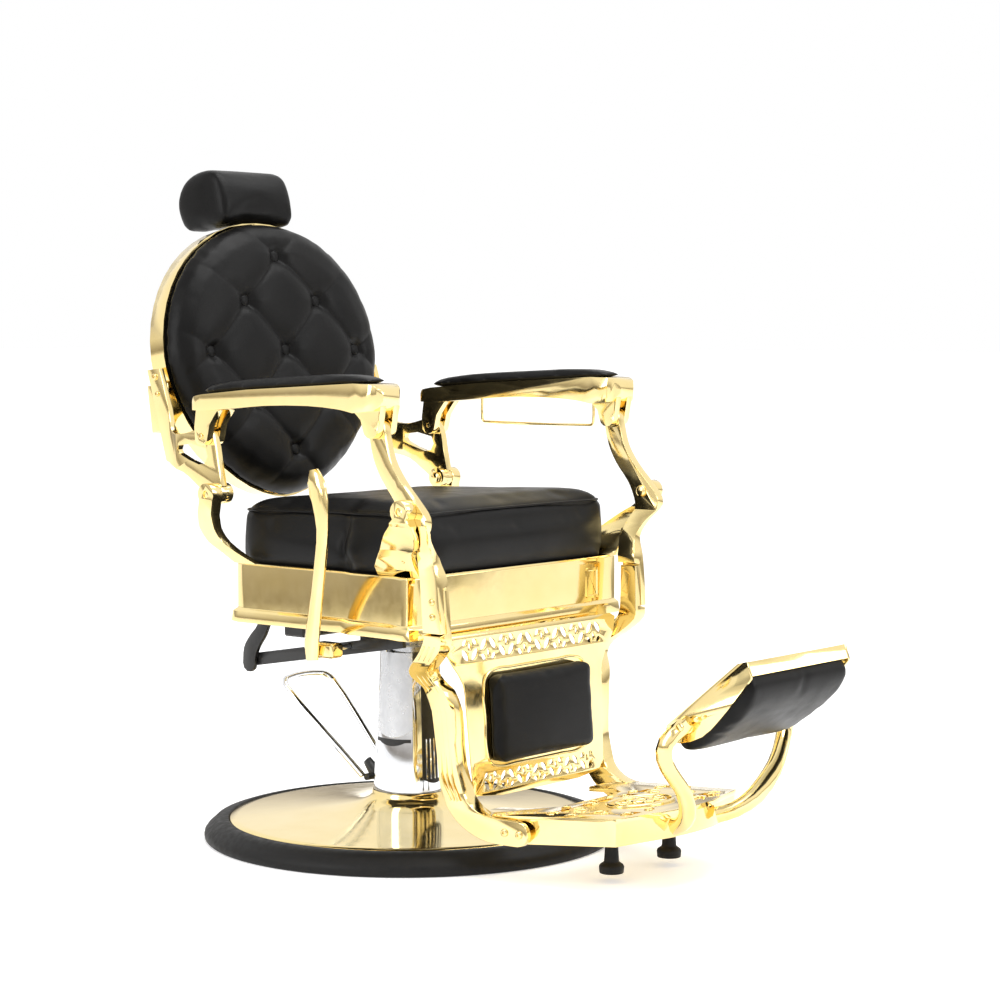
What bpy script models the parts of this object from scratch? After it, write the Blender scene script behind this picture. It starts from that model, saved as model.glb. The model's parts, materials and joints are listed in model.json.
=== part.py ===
"""Hydraulic barber chair: a turning, lifting pump base with a reclining seat, back and leg frame.

Metres, +Z up. The chair faces -Y, and +X is the sitter's left. The origin is on the floor, on the
pump's axis. Side castings are drawn as (y, z) outlines and given their two faces in x.
"""
import math

import bmesh
import bpy
from mathutils import Matrix, Vector

GAP = 0.0003                # between pieces that touch

# Base and pump
BASE_R = 0.350              # outside of the rubber ring
RING_WIDTH = 0.042
RING_H = 0.036
FLOOR_PLATE = 0.008         # thickness of the plate on the floor
COVER_H = 0.080             # top of the gold cover's neck
PUMP_R = 0.062              # shroud at its foot
PUMP_TOP_R = 0.050
PUMP_H = 0.330              # top of the shroud
CYLINDER_R = 0.038
ROD_R = 0.020
PEDAL_PIVOT = Vector((0, 0.074, 0.094))
PEDAL_TIP = Vector((0, 0.249, 0.251))
PEDAL_HALF_W = 0.059
PEDAL_WIRE_R = 0.0055

# Seat
SEAT_HALF_W = 0.256
SEAT_FRONT = -0.237
SEAT_REAR = 0.180
CORNER_FLARE = 0.014        # how far the skirt's front corners stand out
SKIRT_BOTTOM = 0.376
SKIRT_TOP = 0.475
SKIRT_LIP = 0.018
SKIRT_WALL = 0.005
CUSHION_TOP = 0.588

# Side linkage: pivots as (y, z), and where each layer lies in x
FRONT_PIVOT = (-0.271, 0.584)
REAR_PIVOT = (0.170, 0.591)
ARM_FRONT = (-0.206, 0.709)
ARM_REAR = (0.188, 0.686)
POST_IN, POST_OUT = 0.294, 0.310
STAND_IN, STAND_OUT = 0.2914, 0.313
BRACKET_IN, BRACKET_OUT = 0.278, 0.2911
BOSS_OUT = 0.332            # outer face of the front bracket's boss
ARM_W = 0.070
ARM_X_FRONT, ARM_X_REAR = 0.303, 0.285
EAR_GAP = 0.0008
EAR_T = 0.013
TOWEL_R = 0.0024
TOWEL_TOP = 0.742           # ends of the towel bar, inside their sockets

# Back, on a plane that leans by BACK_LEAN; its own t runs up the plane and n runs rearwards
BACK_LEAN = math.radians(8.13)
BACK_CENTRE = Vector((0, 0.328, 0.815))
BACK_HALF_W = 0.255
BACK_UP = 0.235
BACK_DOWN = 0.252
BACK_POWER_UP = 2.05        # roundness of the outline's upper and lower halves
BACK_POWER_DOWN = 1.75
SHELL_DEPTH = 0.052
SHELL_WALL = 0.004
PAD_DEPTH = 0.050
HEAD_HALF_W = 0.088
HEAD_H = 0.104
HEAD_LOW = BACK_UP - 0.007  # underside at its two ends, which hang a little past the shell's top
HEAD_ARCH = 0.012
POST_N = 0.019              # where the headrest's post lies in the shell

# Leg frame and footrest
PANEL_FRONT_TOP = (-0.268, 0.381)
PANEL_FRONT_LOW = (-0.286, 0.118)
PANEL_T = 0.008
LEG_PAD_W, LEG_PAD_H, LEG_PAD_T = 0.262, 0.152, 0.020
PLATE_FRONT = -0.560
PLATE_REAR = -0.336
PLATE_HALF_REAR = 0.1897
PLATE_HALF_FRONT = 0.162
PLATE_RISE = math.radians(4.4)
PLATE_TOP = 0.103           # height of the tread at its rear edge
PLATE_DEPTH = 0.043
FOOT_X, FOOT_Y, FOOT_Z = 0.077, -0.488, 0.014
REST_PIVOT = (-0.672, 0.272)
REST_ANGLE = math.radians(39.2)
REST_HALF_W = 0.137

LEVER_AXIS = (-0.062, 0.350)
RELEASE_R = 0.0045
SIDES = (("l", 1), ("r", -1))

FINISHES = {                # base colour, metallic, roughness
    "gold": ((0.83, 0.62, 0.28), 1.0, 0.12),
    "chrome": ((0.80, 0.80, 0.82), 1.0, 0.08),
    "steel": ((0.45, 0.45, 0.47), 1.0, 0.35),
    "black_steel": ((0.03, 0.03, 0.03), 0.6, 0.40),
    "rubber": ((0.02, 0.02, 0.02), 0.0, 0.60),
    "leather": ((0.03, 0.03, 0.03), 0.0, 0.45),
    "wood": ((0.45, 0.30, 0.18), 0.0, 0.70),
}


# ---------------------------------------------------------------- scene and bodies

def clear_scene():
    for obj in list(bpy.data.objects):
        bpy.data.objects.remove(obj, do_unlink=True)


def new_collection(name):
    collection = bpy.data.collections.new(name)
    bpy.context.scene.collection.children.link(collection)
    return collection


def make_material(name):
    colour, metallic, roughness = FINISHES[name]
    material = bpy.data.materials.new(name)
    material.use_nodes = True
    shader = material.node_tree.nodes["Principled BSDF"]
    shader.inputs["Base Color"].default_value = (*colour, 1)
    shader.inputs["Metallic"].default_value = metallic
    shader.inputs["Roughness"].default_value = roughness
    return material


def axis_empty(name, place, parent=None):
    """An empty on a joint's axis, which carries the pieces that move about it."""
    empty = bpy.data.objects.new(name, None)
    PARTS.objects.link(empty)
    empty.location = place
    if parent:
        empty.parent = parent
        empty.matrix_parent_inverse = Matrix.Translation(-world_place(parent))
    return empty


def world_place(empty):
    bpy.context.view_layer.update()
    return empty.matrix_world.translation.copy()


def add(name, mesh, finish, body, smooth=True):
    """Link a mesh that is drawn in world coordinates, and hang it on its body's empty."""
    obj = bpy.data.objects.new(name, mesh)
    PARTS.objects.link(obj)
    mesh.name = name
    if not mesh.materials:
        mesh.materials.append(MATERIALS[finish])
    if smooth:
        mesh.shade_smooth()
        mesh.set_sharp_from_angle(angle=math.radians(35))
    obj.parent = body
    obj.matrix_parent_inverse = Matrix.Translation(-world_place(body))
    return obj


def boolean(obj, other, operation="DIFFERENCE"):
    modifier = obj.modifiers.new(operation.lower(), "BOOLEAN")
    modifier.operation = operation
    modifier.solver = "EXACT"
    modifier.object = other


def cutter(name, mesh):
    obj = bpy.data.objects.new(name, mesh)
    CUTTERS.objects.link(obj)
    obj.hide_render = True
    obj.display_type = "WIRE"
    return obj


# ---------------------------------------------------------------- meshes

def finish_mesh(bm, name="shape"):
    bmesh.ops.recalc_face_normals(bm, faces=bm.faces)
    mesh = bpy.data.meshes.new(name)
    bm.to_mesh(mesh)
    bm.free()
    return mesh


def box(size, centre, turn=None, bevel=0.0):
    bm = bmesh.new()
    bmesh.ops.create_cube(bm, size=1)
    bmesh.ops.scale(bm, vec=size, verts=bm.verts)
    if bevel:
        bmesh.ops.bevel(bm, geom=bm.edges[:], offset=bevel, segments=1, affect="EDGES", profile=0.5)
    if turn is not None:
        bmesh.ops.transform(bm, matrix=turn, verts=bm.verts)
    bmesh.ops.translate(bm, vec=centre, verts=bm.verts)
    return finish_mesh(bm)


def cylinder(radius, start, end, segments=20, radius_end=None):
    """A cylinder or cone between two points."""
    start, end = Vector(start), Vector(end)
    axis = end - start
    bm = bmesh.new()
    bmesh.ops.create_cone(bm, cap_ends=True, segments=segments, radius1=radius,
                          radius2=radius if radius_end is None else radius_end, depth=axis.length)
    turn = axis.to_track_quat("Z", "Y").to_matrix().to_4x4()
    bmesh.ops.transform(bm, matrix=Matrix.Translation((start + end) / 2) @ turn, verts=bm.verts)
    return finish_mesh(bm)


def turned(name, profile, finish, body, place=(0, 0, 0), steps=40):
    """A closed (radius, height) profile, down its outer side and up its inner side, turned about Z."""
    mesh = bpy.data.meshes.new(name)
    verts = [(r, 0, z) for r, z in profile]
    closed = profile[0][0] > 0
    edges = [(i, i + 1) for i in range(len(verts) - 1) if profile[i][0] + profile[i + 1][0] > 0]
    if closed:
        edges.append((len(verts) - 1, 0))
    mesh.from_pydata(verts, edges, [])
    obj = add(name, mesh, finish, body, smooth=False)
    mesh.transform(Matrix.Translation(place))
    screw = obj.modifiers.new("turn", "SCREW")
    screw.steps = screw.render_steps = steps
    screw.use_merge_vertices = True
    screw.merge_threshold = 0.0001
    screw.use_smooth_shade = True
    return obj


def arc(centre, radius, start, end, count=6):
    """Points on a circle's stretch, angles in degrees from +first towards +second."""
    angles = [math.radians(start + (end - start) * i / count) for i in range(count + 1)]
    return [(centre[0] + radius * math.cos(a), centre[1] + radius * math.sin(a)) for a in angles]


def circle(centre, radius, count=16):
    return arc(centre, radius, 0, 360, count)[:-1]


def smooth(points, steps=3):
    """An open curve through the points, which leaves and enters each along its neighbours' line."""
    points = [Vector(p) for p in points]
    out = []
    for i in range(len(points) - 1):
        a, b = points[i], points[i + 1]
        length = (b - a).length
        before = b - a if i == 0 else b - points[i - 1]
        after = b - a if i == len(points) - 2 else points[i + 2] - a
        leave, enter = before.normalized() * length, after.normalized() * length
        for s in range(steps):
            t = s / steps
            out.append(a * (2 * t**3 - 3 * t**2 + 1) + leave * (t**3 - 2 * t**2 + t)
                       + b * (3 * t**2 - 2 * t**3) + enter * (t**3 - t**2))
    out.append(points[-1])
    return [tuple(p) for p in out]


def filled(loops):
    """A flat outline with its holes, one unit thick, as a welded bmesh."""
    curve = bpy.data.curves.new("outline", "CURVE")
    curve.dimensions = "2D"
    curve.fill_mode = "BOTH"
    curve.extrude = 0.5
    for loop in loops:
        spline = curve.splines.new("POLY")
        spline.points.add(len(loop) - 1)
        for point, place in zip(spline.points, loop):
            point.co = (place[0], place[1], 0, 1)
        spline.use_cyclic_u = True
    obj = bpy.data.objects.new("outline", curve)
    CUTTERS.objects.link(obj)
    depsgraph = bpy.context.evaluated_depsgraph_get()
    mesh = bpy.data.meshes.new_from_object(obj.evaluated_get(depsgraph))
    bm = bmesh.new()
    bm.from_mesh(mesh)
    bpy.data.objects.remove(obj)
    bpy.data.curves.remove(curve)
    bpy.data.meshes.remove(mesh)
    bmesh.ops.remove_doubles(bm, verts=bm.verts, dist=0.00001)
    return bm


def flat_plate(loops, bottom, top):
    """An (x, y) outline with holes between two heights."""
    bm = filled(loops)
    for vert in bm.verts:
        vert.co.z = top if vert.co.z > 0 else bottom
    return finish_mesh(bm)


def bend(stations):
    """A piecewise straight function through (height, value) stations."""
    stations = sorted(stations)

    def value(at):
        if at <= stations[0][0]:
            return stations[0][1]
        for (a, va), (b, vb) in zip(stations, stations[1:]):
            if at <= b:
                return va + (vb - va) * (at - a) / (b - a)
        return stations[-1][1]
    return value


def side_casting(sign, loops, inner, outer, cuts_z=(), cuts_y=()):
    """A (y, z) outline with holes, whose faces lie at x = inner(y, z) and outer(y, z)."""
    bm = filled(loops)
    for axis, cuts in ((0, cuts_y), (1, cuts_z)):
        for cut in cuts:
            point, normal = Vector((0, 0, 0)), Vector((0, 0, 0))
            point[axis], normal[axis] = cut, 1
            geom = bm.verts[:] + bm.edges[:] + bm.faces[:]
            bmesh.ops.bisect_plane(bm, geom=geom, plane_co=point, plane_no=normal, dist=0.00001)
    for vert in bm.verts:
        y, z, face = vert.co
        vert.co = (sign * (outer(y, z) if face > 0 else inner(y, z)), y, z)
    bmesh.ops.triangulate(bm, faces=[f for f in bm.faces if len(f.verts) > 4])
    return finish_mesh(bm)


def loft(rings, closed_path=False):
    """Bridge rings that have the same number of points, and cap the two ends."""
    bm = bmesh.new()
    loops = [[bm.verts.new(p) for p in ring] for ring in rings]
    count = len(loops[0])
    pairs = list(zip(loops, loops[1:]))
    if closed_path:
        pairs.append((loops[-1], loops[0]))
    for a, b in pairs:
        for i in range(count):
            j = (i + 1) % count
            bm.faces.new((a[i], a[j], b[j], b[i]))
    if not closed_path:
        bm.faces.new(loops[0])
        bm.faces.new(reversed(loops[-1]))
    return finish_mesh(bm)


def bar(stations, flat_dir, sides=8, steps=2):
    """A bar of oval section along a path; each station is (x, y, z, width, thickness).

    Width lies across flat_dir, and thickness along it.
    """
    rows = smooth(stations, steps)
    flat_dir = Vector(flat_dir)
    rings = []
    for i, row in enumerate(rows):
        ahead = Vector(rows[min(i + 1, len(rows) - 1)][:3])
        behind = Vector(rows[max(i - 1, 0)][:3])
        along = (ahead - behind).normalized()
        thick = (flat_dir - along * flat_dir.dot(along)).normalized()
        wide = along.cross(thick)
        ring = []
        for k in range(sides):
            angle = 2 * math.pi * (k + 0.5) / sides
            ring.append(Vector(row[:3]) + wide * (row[3] / 2 * math.cos(angle))
                        + thick * (row[4] / 2 * math.sin(angle)))
        rings.append(ring)
    return loft(rings)


def rod(name, points, radius, finish, body, steps=4):
    """A round rod along a smooth path, as a curve with filled caps."""
    curve = bpy.data.curves.new(name, "CURVE")
    curve.dimensions = "3D"
    curve.bevel_depth = radius
    curve.bevel_resolution = 2
    curve.use_fill_caps = True
    route = smooth(points, steps)
    spline = curve.splines.new("POLY")
    spline.points.add(len(route) - 1)
    for point, place in zip(spline.points, route):
        point.co = (*place, 1)
    curve.materials.append(MATERIALS[finish])
    obj = bpy.data.objects.new(name, curve)
    PARTS.objects.link(obj)
    obj.parent = body
    obj.matrix_parent_inverse = Matrix.Translation(-world_place(body))
    return obj


# ---------------------------------------------------------------- base and pump

def build_base(body):
    inner = BASE_R - RING_WIDTH
    turned("base_plate", [(0, FLOOR_PLATE), (inner - 0.012, FLOOR_PLATE), (inner - 0.012, 0), (0, 0)],
           "black_steel", body, steps=56)
    turned("base_ring", [
        (inner, RING_H), (BASE_R - 0.018, RING_H - 0.004), (BASE_R - 0.004, RING_H - 0.016),
        (BASE_R, 0.010), (BASE_R - 0.003, 0), (inner - 0.0117, 0), (inner - 0.0117, FLOOR_PLATE + GAP),
        (inner, FLOOR_PLATE + GAP)], "rubber", body, steps=56)
    neck = PUMP_R + 0.002
    wall = 0.003
    edge = inner - GAP
    rise = [(edge, FLOOR_PLATE + 2 * GAP), (edge, RING_H - 0.001), (edge * 0.72, RING_H + 0.006),
            (edge * 0.45, RING_H + 0.014), (neck + 0.020, RING_H + 0.024), (neck + 0.004, COVER_H - 0.010),
            (neck, COVER_H)]
    inside = [(r - wall if i > 3 else r - 0.6 * wall, z - wall) for i, (r, z) in enumerate(rise[1:])]
    profile = list(reversed(rise)) + [(edge - wall, FLOOR_PLATE + 2 * GAP)] + inside
    turned("base_cover", profile, "gold", body, steps=56)
    # Socket that the pump turns in, on the base plate
    socket_in = CYLINDER_R + 0.003
    turned("pump_socket", [(socket_in + 0.012, COVER_H - 0.006), (socket_in + 0.012, 0.028),
                           (socket_in + 0.040, 0.018), (socket_in + 0.040, FLOOR_PLATE + GAP),
                           (socket_in, FLOOR_PLATE + GAP),
                           (socket_in, COVER_H - 0.006)], "steel", body, steps=32)


def build_pump(body):
    foot, wall, inner, lid = COVER_H + GAP, 0.003, ROD_R + 0.0104, PUMP_H - 0.008
    radius = bend([(foot, PUMP_R), (PUMP_H, PUMP_TOP_R)])
    shroud = turned("pump_shroud", [
        (PUMP_TOP_R - 0.003, PUMP_H), (radius(PUMP_H - 0.004), PUMP_H - 0.004), (PUMP_R, foot + 0.01),
        (PUMP_R, foot), (PUMP_R - wall, foot), (PUMP_R - wall, foot + 0.01), (radius(lid) - wall, lid),
        (inner, lid), (inner, PUMP_H)], "chrome", body, steps=36)
    slot_h = 0.050
    slot = box((0.018, 0.050, slot_h), (0, PUMP_R, foot + slot_h / 2 - 0.010))
    boolean(shroud, cutter("lever_slot", slot))
    bore, low, top = ROD_R + 0.001, FLOOR_PLATE + 2 * GAP, PUMP_H + 0.004
    turned("pump_cylinder", [
        (ROD_R + 0.010, top), (ROD_R + 0.010, top - 0.016), (CYLINDER_R, top - 0.020),
        (CYLINDER_R, FLOOR_PLATE + 0.004), (0.020, low), (0, low), (0, 0.030), (bore, 0.030), (bore, top)],
        "steel", body, steps=36)


def build_pedal(body):
    pivot, tip = PEDAL_PIVOT, PEDAL_TIP
    run = (tip - pivot).normalized()
    # Lever: through the shroud's slot, round the cross pin, with a blade along the pedal
    inside = Vector((0, CYLINDER_R + 4 * GAP, pivot.z + 0.001))
    blade = pivot + run * 0.034
    lever = bar([(0, inside.y, inside.z, 0.008, 0.012), (*pivot, 0.026, 0.013), (*blade, 0.018, 0.011)],
                (1, 0, 0), sides=8, steps=3)
    pin_r = 0.006
    obj = add("pump_lever", lever, "black_steel", body)
    half = 0.030
    ends = Vector((half, 0, 0))
    boolean(obj, cutter("lever_shaft", cylinder(pin_r, pivot - ends, pivot + ends, segments=16)), "UNION")
    # The foot loop is one bent rod, whose ends butt on the pin's two collars
    start = half + GAP + PEDAL_WIRE_R
    low = pivot + run * 0.004
    route = [(-start, low.y, low.z), (-start - 0.006, *(pivot + run * 0.06).yz),
             (-PEDAL_HALF_W, *(tip - run * 0.020).yz), (-PEDAL_HALF_W + 0.016, *tip.yz),
             (PEDAL_HALF_W - 0.016, *tip.yz), (PEDAL_HALF_W, *(tip - run * 0.020).yz),
             (start + 0.006, *(pivot + run * 0.06).yz), (start, low.y, low.z)]
    rod("pedal_loop", route, PEDAL_WIRE_R, "chrome", body)


# ---------------------------------------------------------------- seat

def seat_outline(grow=0.0, flare=0.0):
    """The seat's outline, rear centre first; grow offsets it, and flare pushes its front corners out."""
    narrow = SEAT_HALF_W - 0.010
    rear, front = SEAT_REAR + grow, SEAT_FRONT - grow
    half = [(0.14, rear), (narrow - 0.030 + grow, rear), (narrow - 0.008 + grow, rear - 0.008),
            (narrow + grow, rear - 0.030), (narrow + grow, -0.075), (SEAT_HALF_W + grow, -0.100),
            (SEAT_HALF_W + grow + flare * 0.3, -0.190), (SEAT_HALF_W + flare + grow * 0.8, -0.219),
            (SEAT_HALF_W - 0.008 + flare * 1.5 + grow * 0.6, front + 0.004),
            (SEAT_HALF_W - 0.026 + flare, front), (0.10, front)]
    return half + [(-x, y) for x, y in reversed(half)]


def build_seat_frame(body):
    rod_top = 0.345
    turned("piston_rod", [
        (0, rod_top + 0.008), (0.092, rod_top + 0.008), (0.092, rod_top), (ROD_R + 0.012, rod_top - 0.002),
        (ROD_R, rod_top - 0.010), (ROD_R, 0.1300), (0, 0.1300)], "steel", body, steps=36)
    # Cradle: two cross channels on the piston's flange, and a plate that the skirt is bolted to
    low = rod_top + 0.008 + GAP
    mid = SKIRT_BOTTOM + 0.010
    frame_y = (SEAT_REAR - 0.020, SEAT_FRONT + 0.016)
    inner = [(x, y) for x, y in seat_outline(-SKIRT_WALL - 2 * GAP) if abs(x) > 0.15]
    window = [(-0.06, -0.05), (-0.06, 0.06), (0.06, 0.06), (0.06, -0.05)]
    plate = add("seat_frame", flat_plate([inner, window], mid, mid + 0.005), "black_steel", body,
                smooth=False)
    for y in (-0.098, 0.072):
        height = mid + 0.001 - low
        channel = box((0.418, 0.046, height), (0, y, low + height / 2), bevel=0.003)
        boolean(plate, cutter("cross_channel", channel), "UNION")
    # Pressed pan that carries the cushion, open underneath
    pan_top = SKIRT_TOP - 0.030
    pan_low = mid + 0.005 + GAP
    wall = 0.002
    rings = [[(x * scale, y * scale, z) for x, y in seat_outline(-0.020)]
             for z, scale in ((pan_low, 0.98), (pan_top, 0.98), (pan_top, 0.72), (pan_top - wall, 0.72),
                              (pan_top - wall, 0.97), (pan_low, 0.97))]
    add("seat_pan", loft(rings, closed_path=True), "steel", body, smooth=False)


def build_skirt(body):
    """Cast skirt: a plain wall with a stepped lip round its foot and a rounded top edge."""
    lip_top = SKIRT_BOTTOM + SKIRT_LIP
    section = [(SKIRT_BOTTOM, 0.008), (lip_top, 0.006), (lip_top + 0.005, 0.0), (SKIRT_TOP - 0.003, 0.0),
               (SKIRT_TOP, -0.0025), (SKIRT_TOP, -SKIRT_WALL), (SKIRT_BOTTOM, -SKIRT_WALL)]
    rings = [[(x, y, z) for x, y in seat_outline(grow, CORNER_FLARE)] for z, grow in section]
    add("seat_skirt", loft(rings, closed_path=True), "gold", body, smooth=False)


def build_seat_cushion(body):
    """Box cushion in the skirt, crowned on top, its seat rising a little to the front."""
    bottom = SKIRT_TOP - 0.030 + GAP
    section = [(bottom, 1.0), (SKIRT_TOP + 0.003, 1.0), (SKIRT_TOP + 0.018, 1.026), (SKIRT_TOP + 0.044, 1.030),
               (CUSHION_TOP - 0.020, 1.022), (CUSHION_TOP - 0.010, 0.995), (CUSHION_TOP - 0.004, 0.93),
               (CUSHION_TOP - 0.001, 0.78), (CUSHION_TOP, 0.5)]
    middle = (SEAT_REAR + SEAT_FRONT) / 2
    rings = []
    for z, scale in section:
        drop = 0.024 if z > SKIRT_TOP + 0.01 else 0
        rings.append([(x * scale, middle + (y - middle) * scale, z - drop * (y - SEAT_FRONT))
                      for x, y in seat_outline(-0.0095)])
    add("seat_cushion", loft(rings), "leather", body)


def build_under_bars(body):
    """Two flat bars under the seat, each hung at its rear end from a curved, notched hanger."""
    rear, front = Vector((0.213, 0.164, 0.3085)), Vector((0.213, -0.172, 0.3655))
    for side, sign in SIDES:
        run = (front - rear).normalized()
        across = Vector((0, -run.z, run.y))
        depth, thick = 0.021, 0.008
        rings = []
        for end in (rear - run * 0.012, front + run * 0.004):
            rings.append([(sign * (end.x + dx), *(end + across * dz).yz)
                          for dx, dz in ((-thick / 2, -depth / 2), (thick / 2, -depth / 2),
                                         (thick / 2, depth / 2), (-thick / 2, depth / 2))])
        bar_obj = add(f"under_bar_{side}", loft(rings), "black_steel", body, smooth=False)
        hole = cylinder(RELEASE_R + 2 * GAP, (sign * 0.20, *LEVER_AXIS), (sign * 0.23, *LEVER_AXIS))
        boolean(bar_obj, cutter("rod_hole", hole))
        # Hanger, outside the bar, up to the seat frame's plate
        top = SKIRT_BOTTOM + 0.010 - GAP
        out = 0.213 + thick / 2 + GAP
        outer_edge = smooth([(0.175, 0.303), (0.172, 0.330), (0.157, 0.352), (0.141, 0.369), (0.137, top)])
        inner_edge = smooth([(0.109, top), (0.123, 0.354), (0.139, 0.332), (0.147, 0.313), (0.147, 0.303)])
        end = arc((0.161, 0.303), 0.014, 180, 360, 5)
        loop = list(reversed(outer_edge)) + end[::-1][1:-1] + list(reversed(inner_edge))
        add(f"bar_hanger_{side}", side_casting(sign, [loop], lambda y, z: out, lambda y, z: out + 0.008),
            "black_steel", body, smooth=False)


def build_front_brackets(body):
    inner = bend([(0.478, 0.2495), (0.490, 0.258), (0.519, 0.278), (0.541, 0.297), (0.555, POST_OUT + GAP)])
    outer = bend([(0.478, 0.2575), (0.490, 0.269), (0.519, 0.289), (0.541, 0.309), (0.560, 0.325),
                  (0.566, BOSS_OUT)])
    foot = SKIRT_TOP + GAP
    for side, sign in SIDES:
        boss = arc(FRONT_PIVOT, 0.018, -40, 220, 12)
        loop = (boss + smooth([(-0.2895, 0.562), (-0.283, 0.543), (-0.270, 0.525), (-0.252, 0.508),
                               (-0.248, foot)]) + [(-0.160, foot)]
                + smooth([(-0.163, 0.490), (-0.185, 0.512), (-0.222, 0.545), (-0.2465, 0.562)]))
        mesh = side_casting(sign, [loop], lambda y, z: inner(z), lambda y, z: outer(z),
                            cuts_z=(0.490, 0.519, 0.541, 0.555, 0.560, 0.566))
        obj = add(f"front_bracket_{side}", mesh, "gold", body)
        boolean(obj, pivot_cutter(sign, FRONT_PIVOT, 0.300, 0.340))


def pivot_cutter(sign, pivot, x_from, x_to, radius=0.0063):
    mesh = cylinder(radius, (sign * x_from, *pivot), (sign * x_to, *pivot), segments=20)
    return cutter("pivot_bore", mesh)


def build_rear_stands(body):
    inner = bend([(0.470, 0.244), (0.485, 0.252), (0.510, 0.272), (0.535, 0.286), (0.556, STAND_IN)])
    outer = bend([(0.470, 0.252), (0.485, 0.266), (0.510, 0.290), (0.535, 0.304), (0.560, STAND_OUT)])
    foot = SKIRT_TOP + GAP
    for side, sign in SIDES:
        boss = arc(REAR_PIVOT, 0.018, -30, 210, 12)
        loop = (boss + smooth([(0.155, 0.578), (0.160, 0.545), (0.158, 0.520), (0.140, 0.496),
                               (0.112, foot)]) + [(0.160, foot)]
                + smooth([(0.172, 0.492), (0.188, 0.512), (0.194, 0.535), (0.189, 0.560), (0.1856, 0.578)]))
        mesh = side_casting(sign, [loop], lambda y, z: inner(z), lambda y, z: outer(z),
                            cuts_z=(0.485, 0.510, 0.535, 0.556, 0.560))
        obj = add(f"rear_stand_{side}", mesh, "gold", body)
        boolean(obj, pivot_cutter(sign, REAR_PIVOT, 0.280, 0.320))


def pivot_bolt(name, sign, pivot, x_in, x_out, body, finish="gold"):
    """A shoulder bolt along x: a domed head on the inner side and a shank through both bosses."""
    shank, head, head_t = 0.006, 0.0105, 0.005
    y, z = pivot
    rings = []
    for x, radius in ((x_in - GAP - head_t, head * 0.55), (x_in - GAP - head_t * 0.6, head * 0.9),
                      (x_in - GAP, head), (x_in - GAP, shank), (x_out - 0.002, shank)):
        rings.append([(sign * x, y + radius * math.cos(2 * math.pi * k / 16),
                       z + radius * math.sin(2 * math.pi * k / 16)) for k in range(16)])
    add(name, loft(rings), finish, body)


def build_pivot_bolts(body):
    for side, sign in SIDES:
        pivot_bolt(f"front_pivot_bolt_{side}", sign, FRONT_PIVOT, POST_IN, BOSS_OUT, body)
        pivot_bolt(f"rear_pivot_bolt_{side}", sign, REAR_PIVOT, 0.265, STAND_OUT, body)


# ---------------------------------------------------------------- leg frame

def build_arm_posts(body):
    inner = bend([(0.392, 0.2560), (0.462, 0.2560), (0.465, 0.243), (0.477, 0.243), (0.508, 0.253),
                  (0.530, 0.273), (0.552, POST_IN)])
    outer = bend([(0.392, 0.268), (0.477, 0.269), (0.508, 0.270), (0.519, 0.276), (0.541, 0.294),
                  (0.562, POST_OUT)])
    for side, sign in SIDES:
        rear = smooth([(-0.190, 0.706), (-0.200, 0.663), (-0.217, 0.631), (-0.242, 0.600),
                       (-0.253, 0.578), (-0.2575, 0.560), (-0.2535, 0.535), (-0.2545, 0.508),
                       (-0.2585, 0.477), (-0.262, 0.430), (-0.264, 0.392)])
        front = smooth([(-0.300, 0.392), (-0.298, 0.430), (-0.293, 0.477), (-0.286, 0.508),
                        (-0.291, 0.535), (-0.304, 0.556), (-0.304, 0.575), (-0.288, 0.595),
                        (-0.254, 0.631), (-0.233, 0.663), (-0.222, 0.704)])
        top = arc(ARM_FRONT, 0.016, 190, 0, 8)[1:-1]
        loop = rear + front + top
        mesh = side_casting(sign, [loop, circle(ARM_FRONT, 0.0070)], lambda y, z: inner(z),
                            lambda y, z: outer(z),
                            cuts_z=(0.462, 0.465, 0.477, 0.508, 0.519, 0.530, 0.541, 0.552, 0.562))
        obj = add(f"arm_post_{side}", mesh, "gold", body)
        boolean(obj, pivot_cutter(sign, FRONT_PIVOT, 0.280, 0.330))


def build_leg_rails(body):
    outer_z = bend([(0.062, 0.200), (0.133, 0.198), (0.183, 0.201), (0.259, 0.206), (0.295, 0.217),
                    (0.312, 0.229), (0.326, 0.241), (0.343, 0.255), (0.371, 0.267), (0.388, 0.268),
                    (0.391, 0.2557), (0.460, 0.2557)])
    inner_z = bend([(0.062, 0.172), (0.133, 0.170), (0.183, 0.173), (0.259, 0.178), (0.295, 0.189),
                    (0.312, 0.201), (0.326, 0.213), (0.343, 0.227), (0.371, 0.239), (0.460, 0.243)])
    lap = bend([(-0.336, PLATE_HALF_REAR + 0.0006), (-0.330, 0.172)])

    def inner(y, z):
        return max(inner_z(z), lap(y)) if z < 0.115 else inner_z(z)

    for side, sign in SIDES:
        rear = smooth([(-0.265, 0.460), (-0.266, 0.392), (-0.260, 0.371), (-0.234, 0.345), (-0.212, 0.328),
                       (-0.206, 0.314), (-0.220, 0.297), (-0.228, 0.259), (-0.235, 0.183),
                       (-0.240, 0.133), (-0.262, 0.097), (-0.298, 0.073), (-0.340, 0.062), (-0.398, 0.062)])
        end = arc((-0.398, 0.0815), 0.0195, 270, 90, 6)[1:]
        front = smooth([(-0.350, 0.101), (-0.318, 0.106), (-0.292, 0.123), (-0.281, 0.150),
                        (-0.273, 0.183), (-0.270, 0.259), (-0.263, 0.292), (-0.250, 0.310),
                        (-0.251, 0.328), (-0.272, 0.345), (-0.298, 0.371), (-0.299, 0.392),
                        (-0.296, 0.460)])
        loop = rear + end + front
        mesh = side_casting(sign, [loop], inner, lambda y, z: outer_z(z),
                            cuts_z=(0.115, 0.133, 0.183, 0.259, 0.295, 0.312, 0.326, 0.343, 0.371, 0.388,
                                    0.391), cuts_y=(-0.330, -0.336))
        add(f"leg_rail_{side}", mesh, "gold", body)


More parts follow.
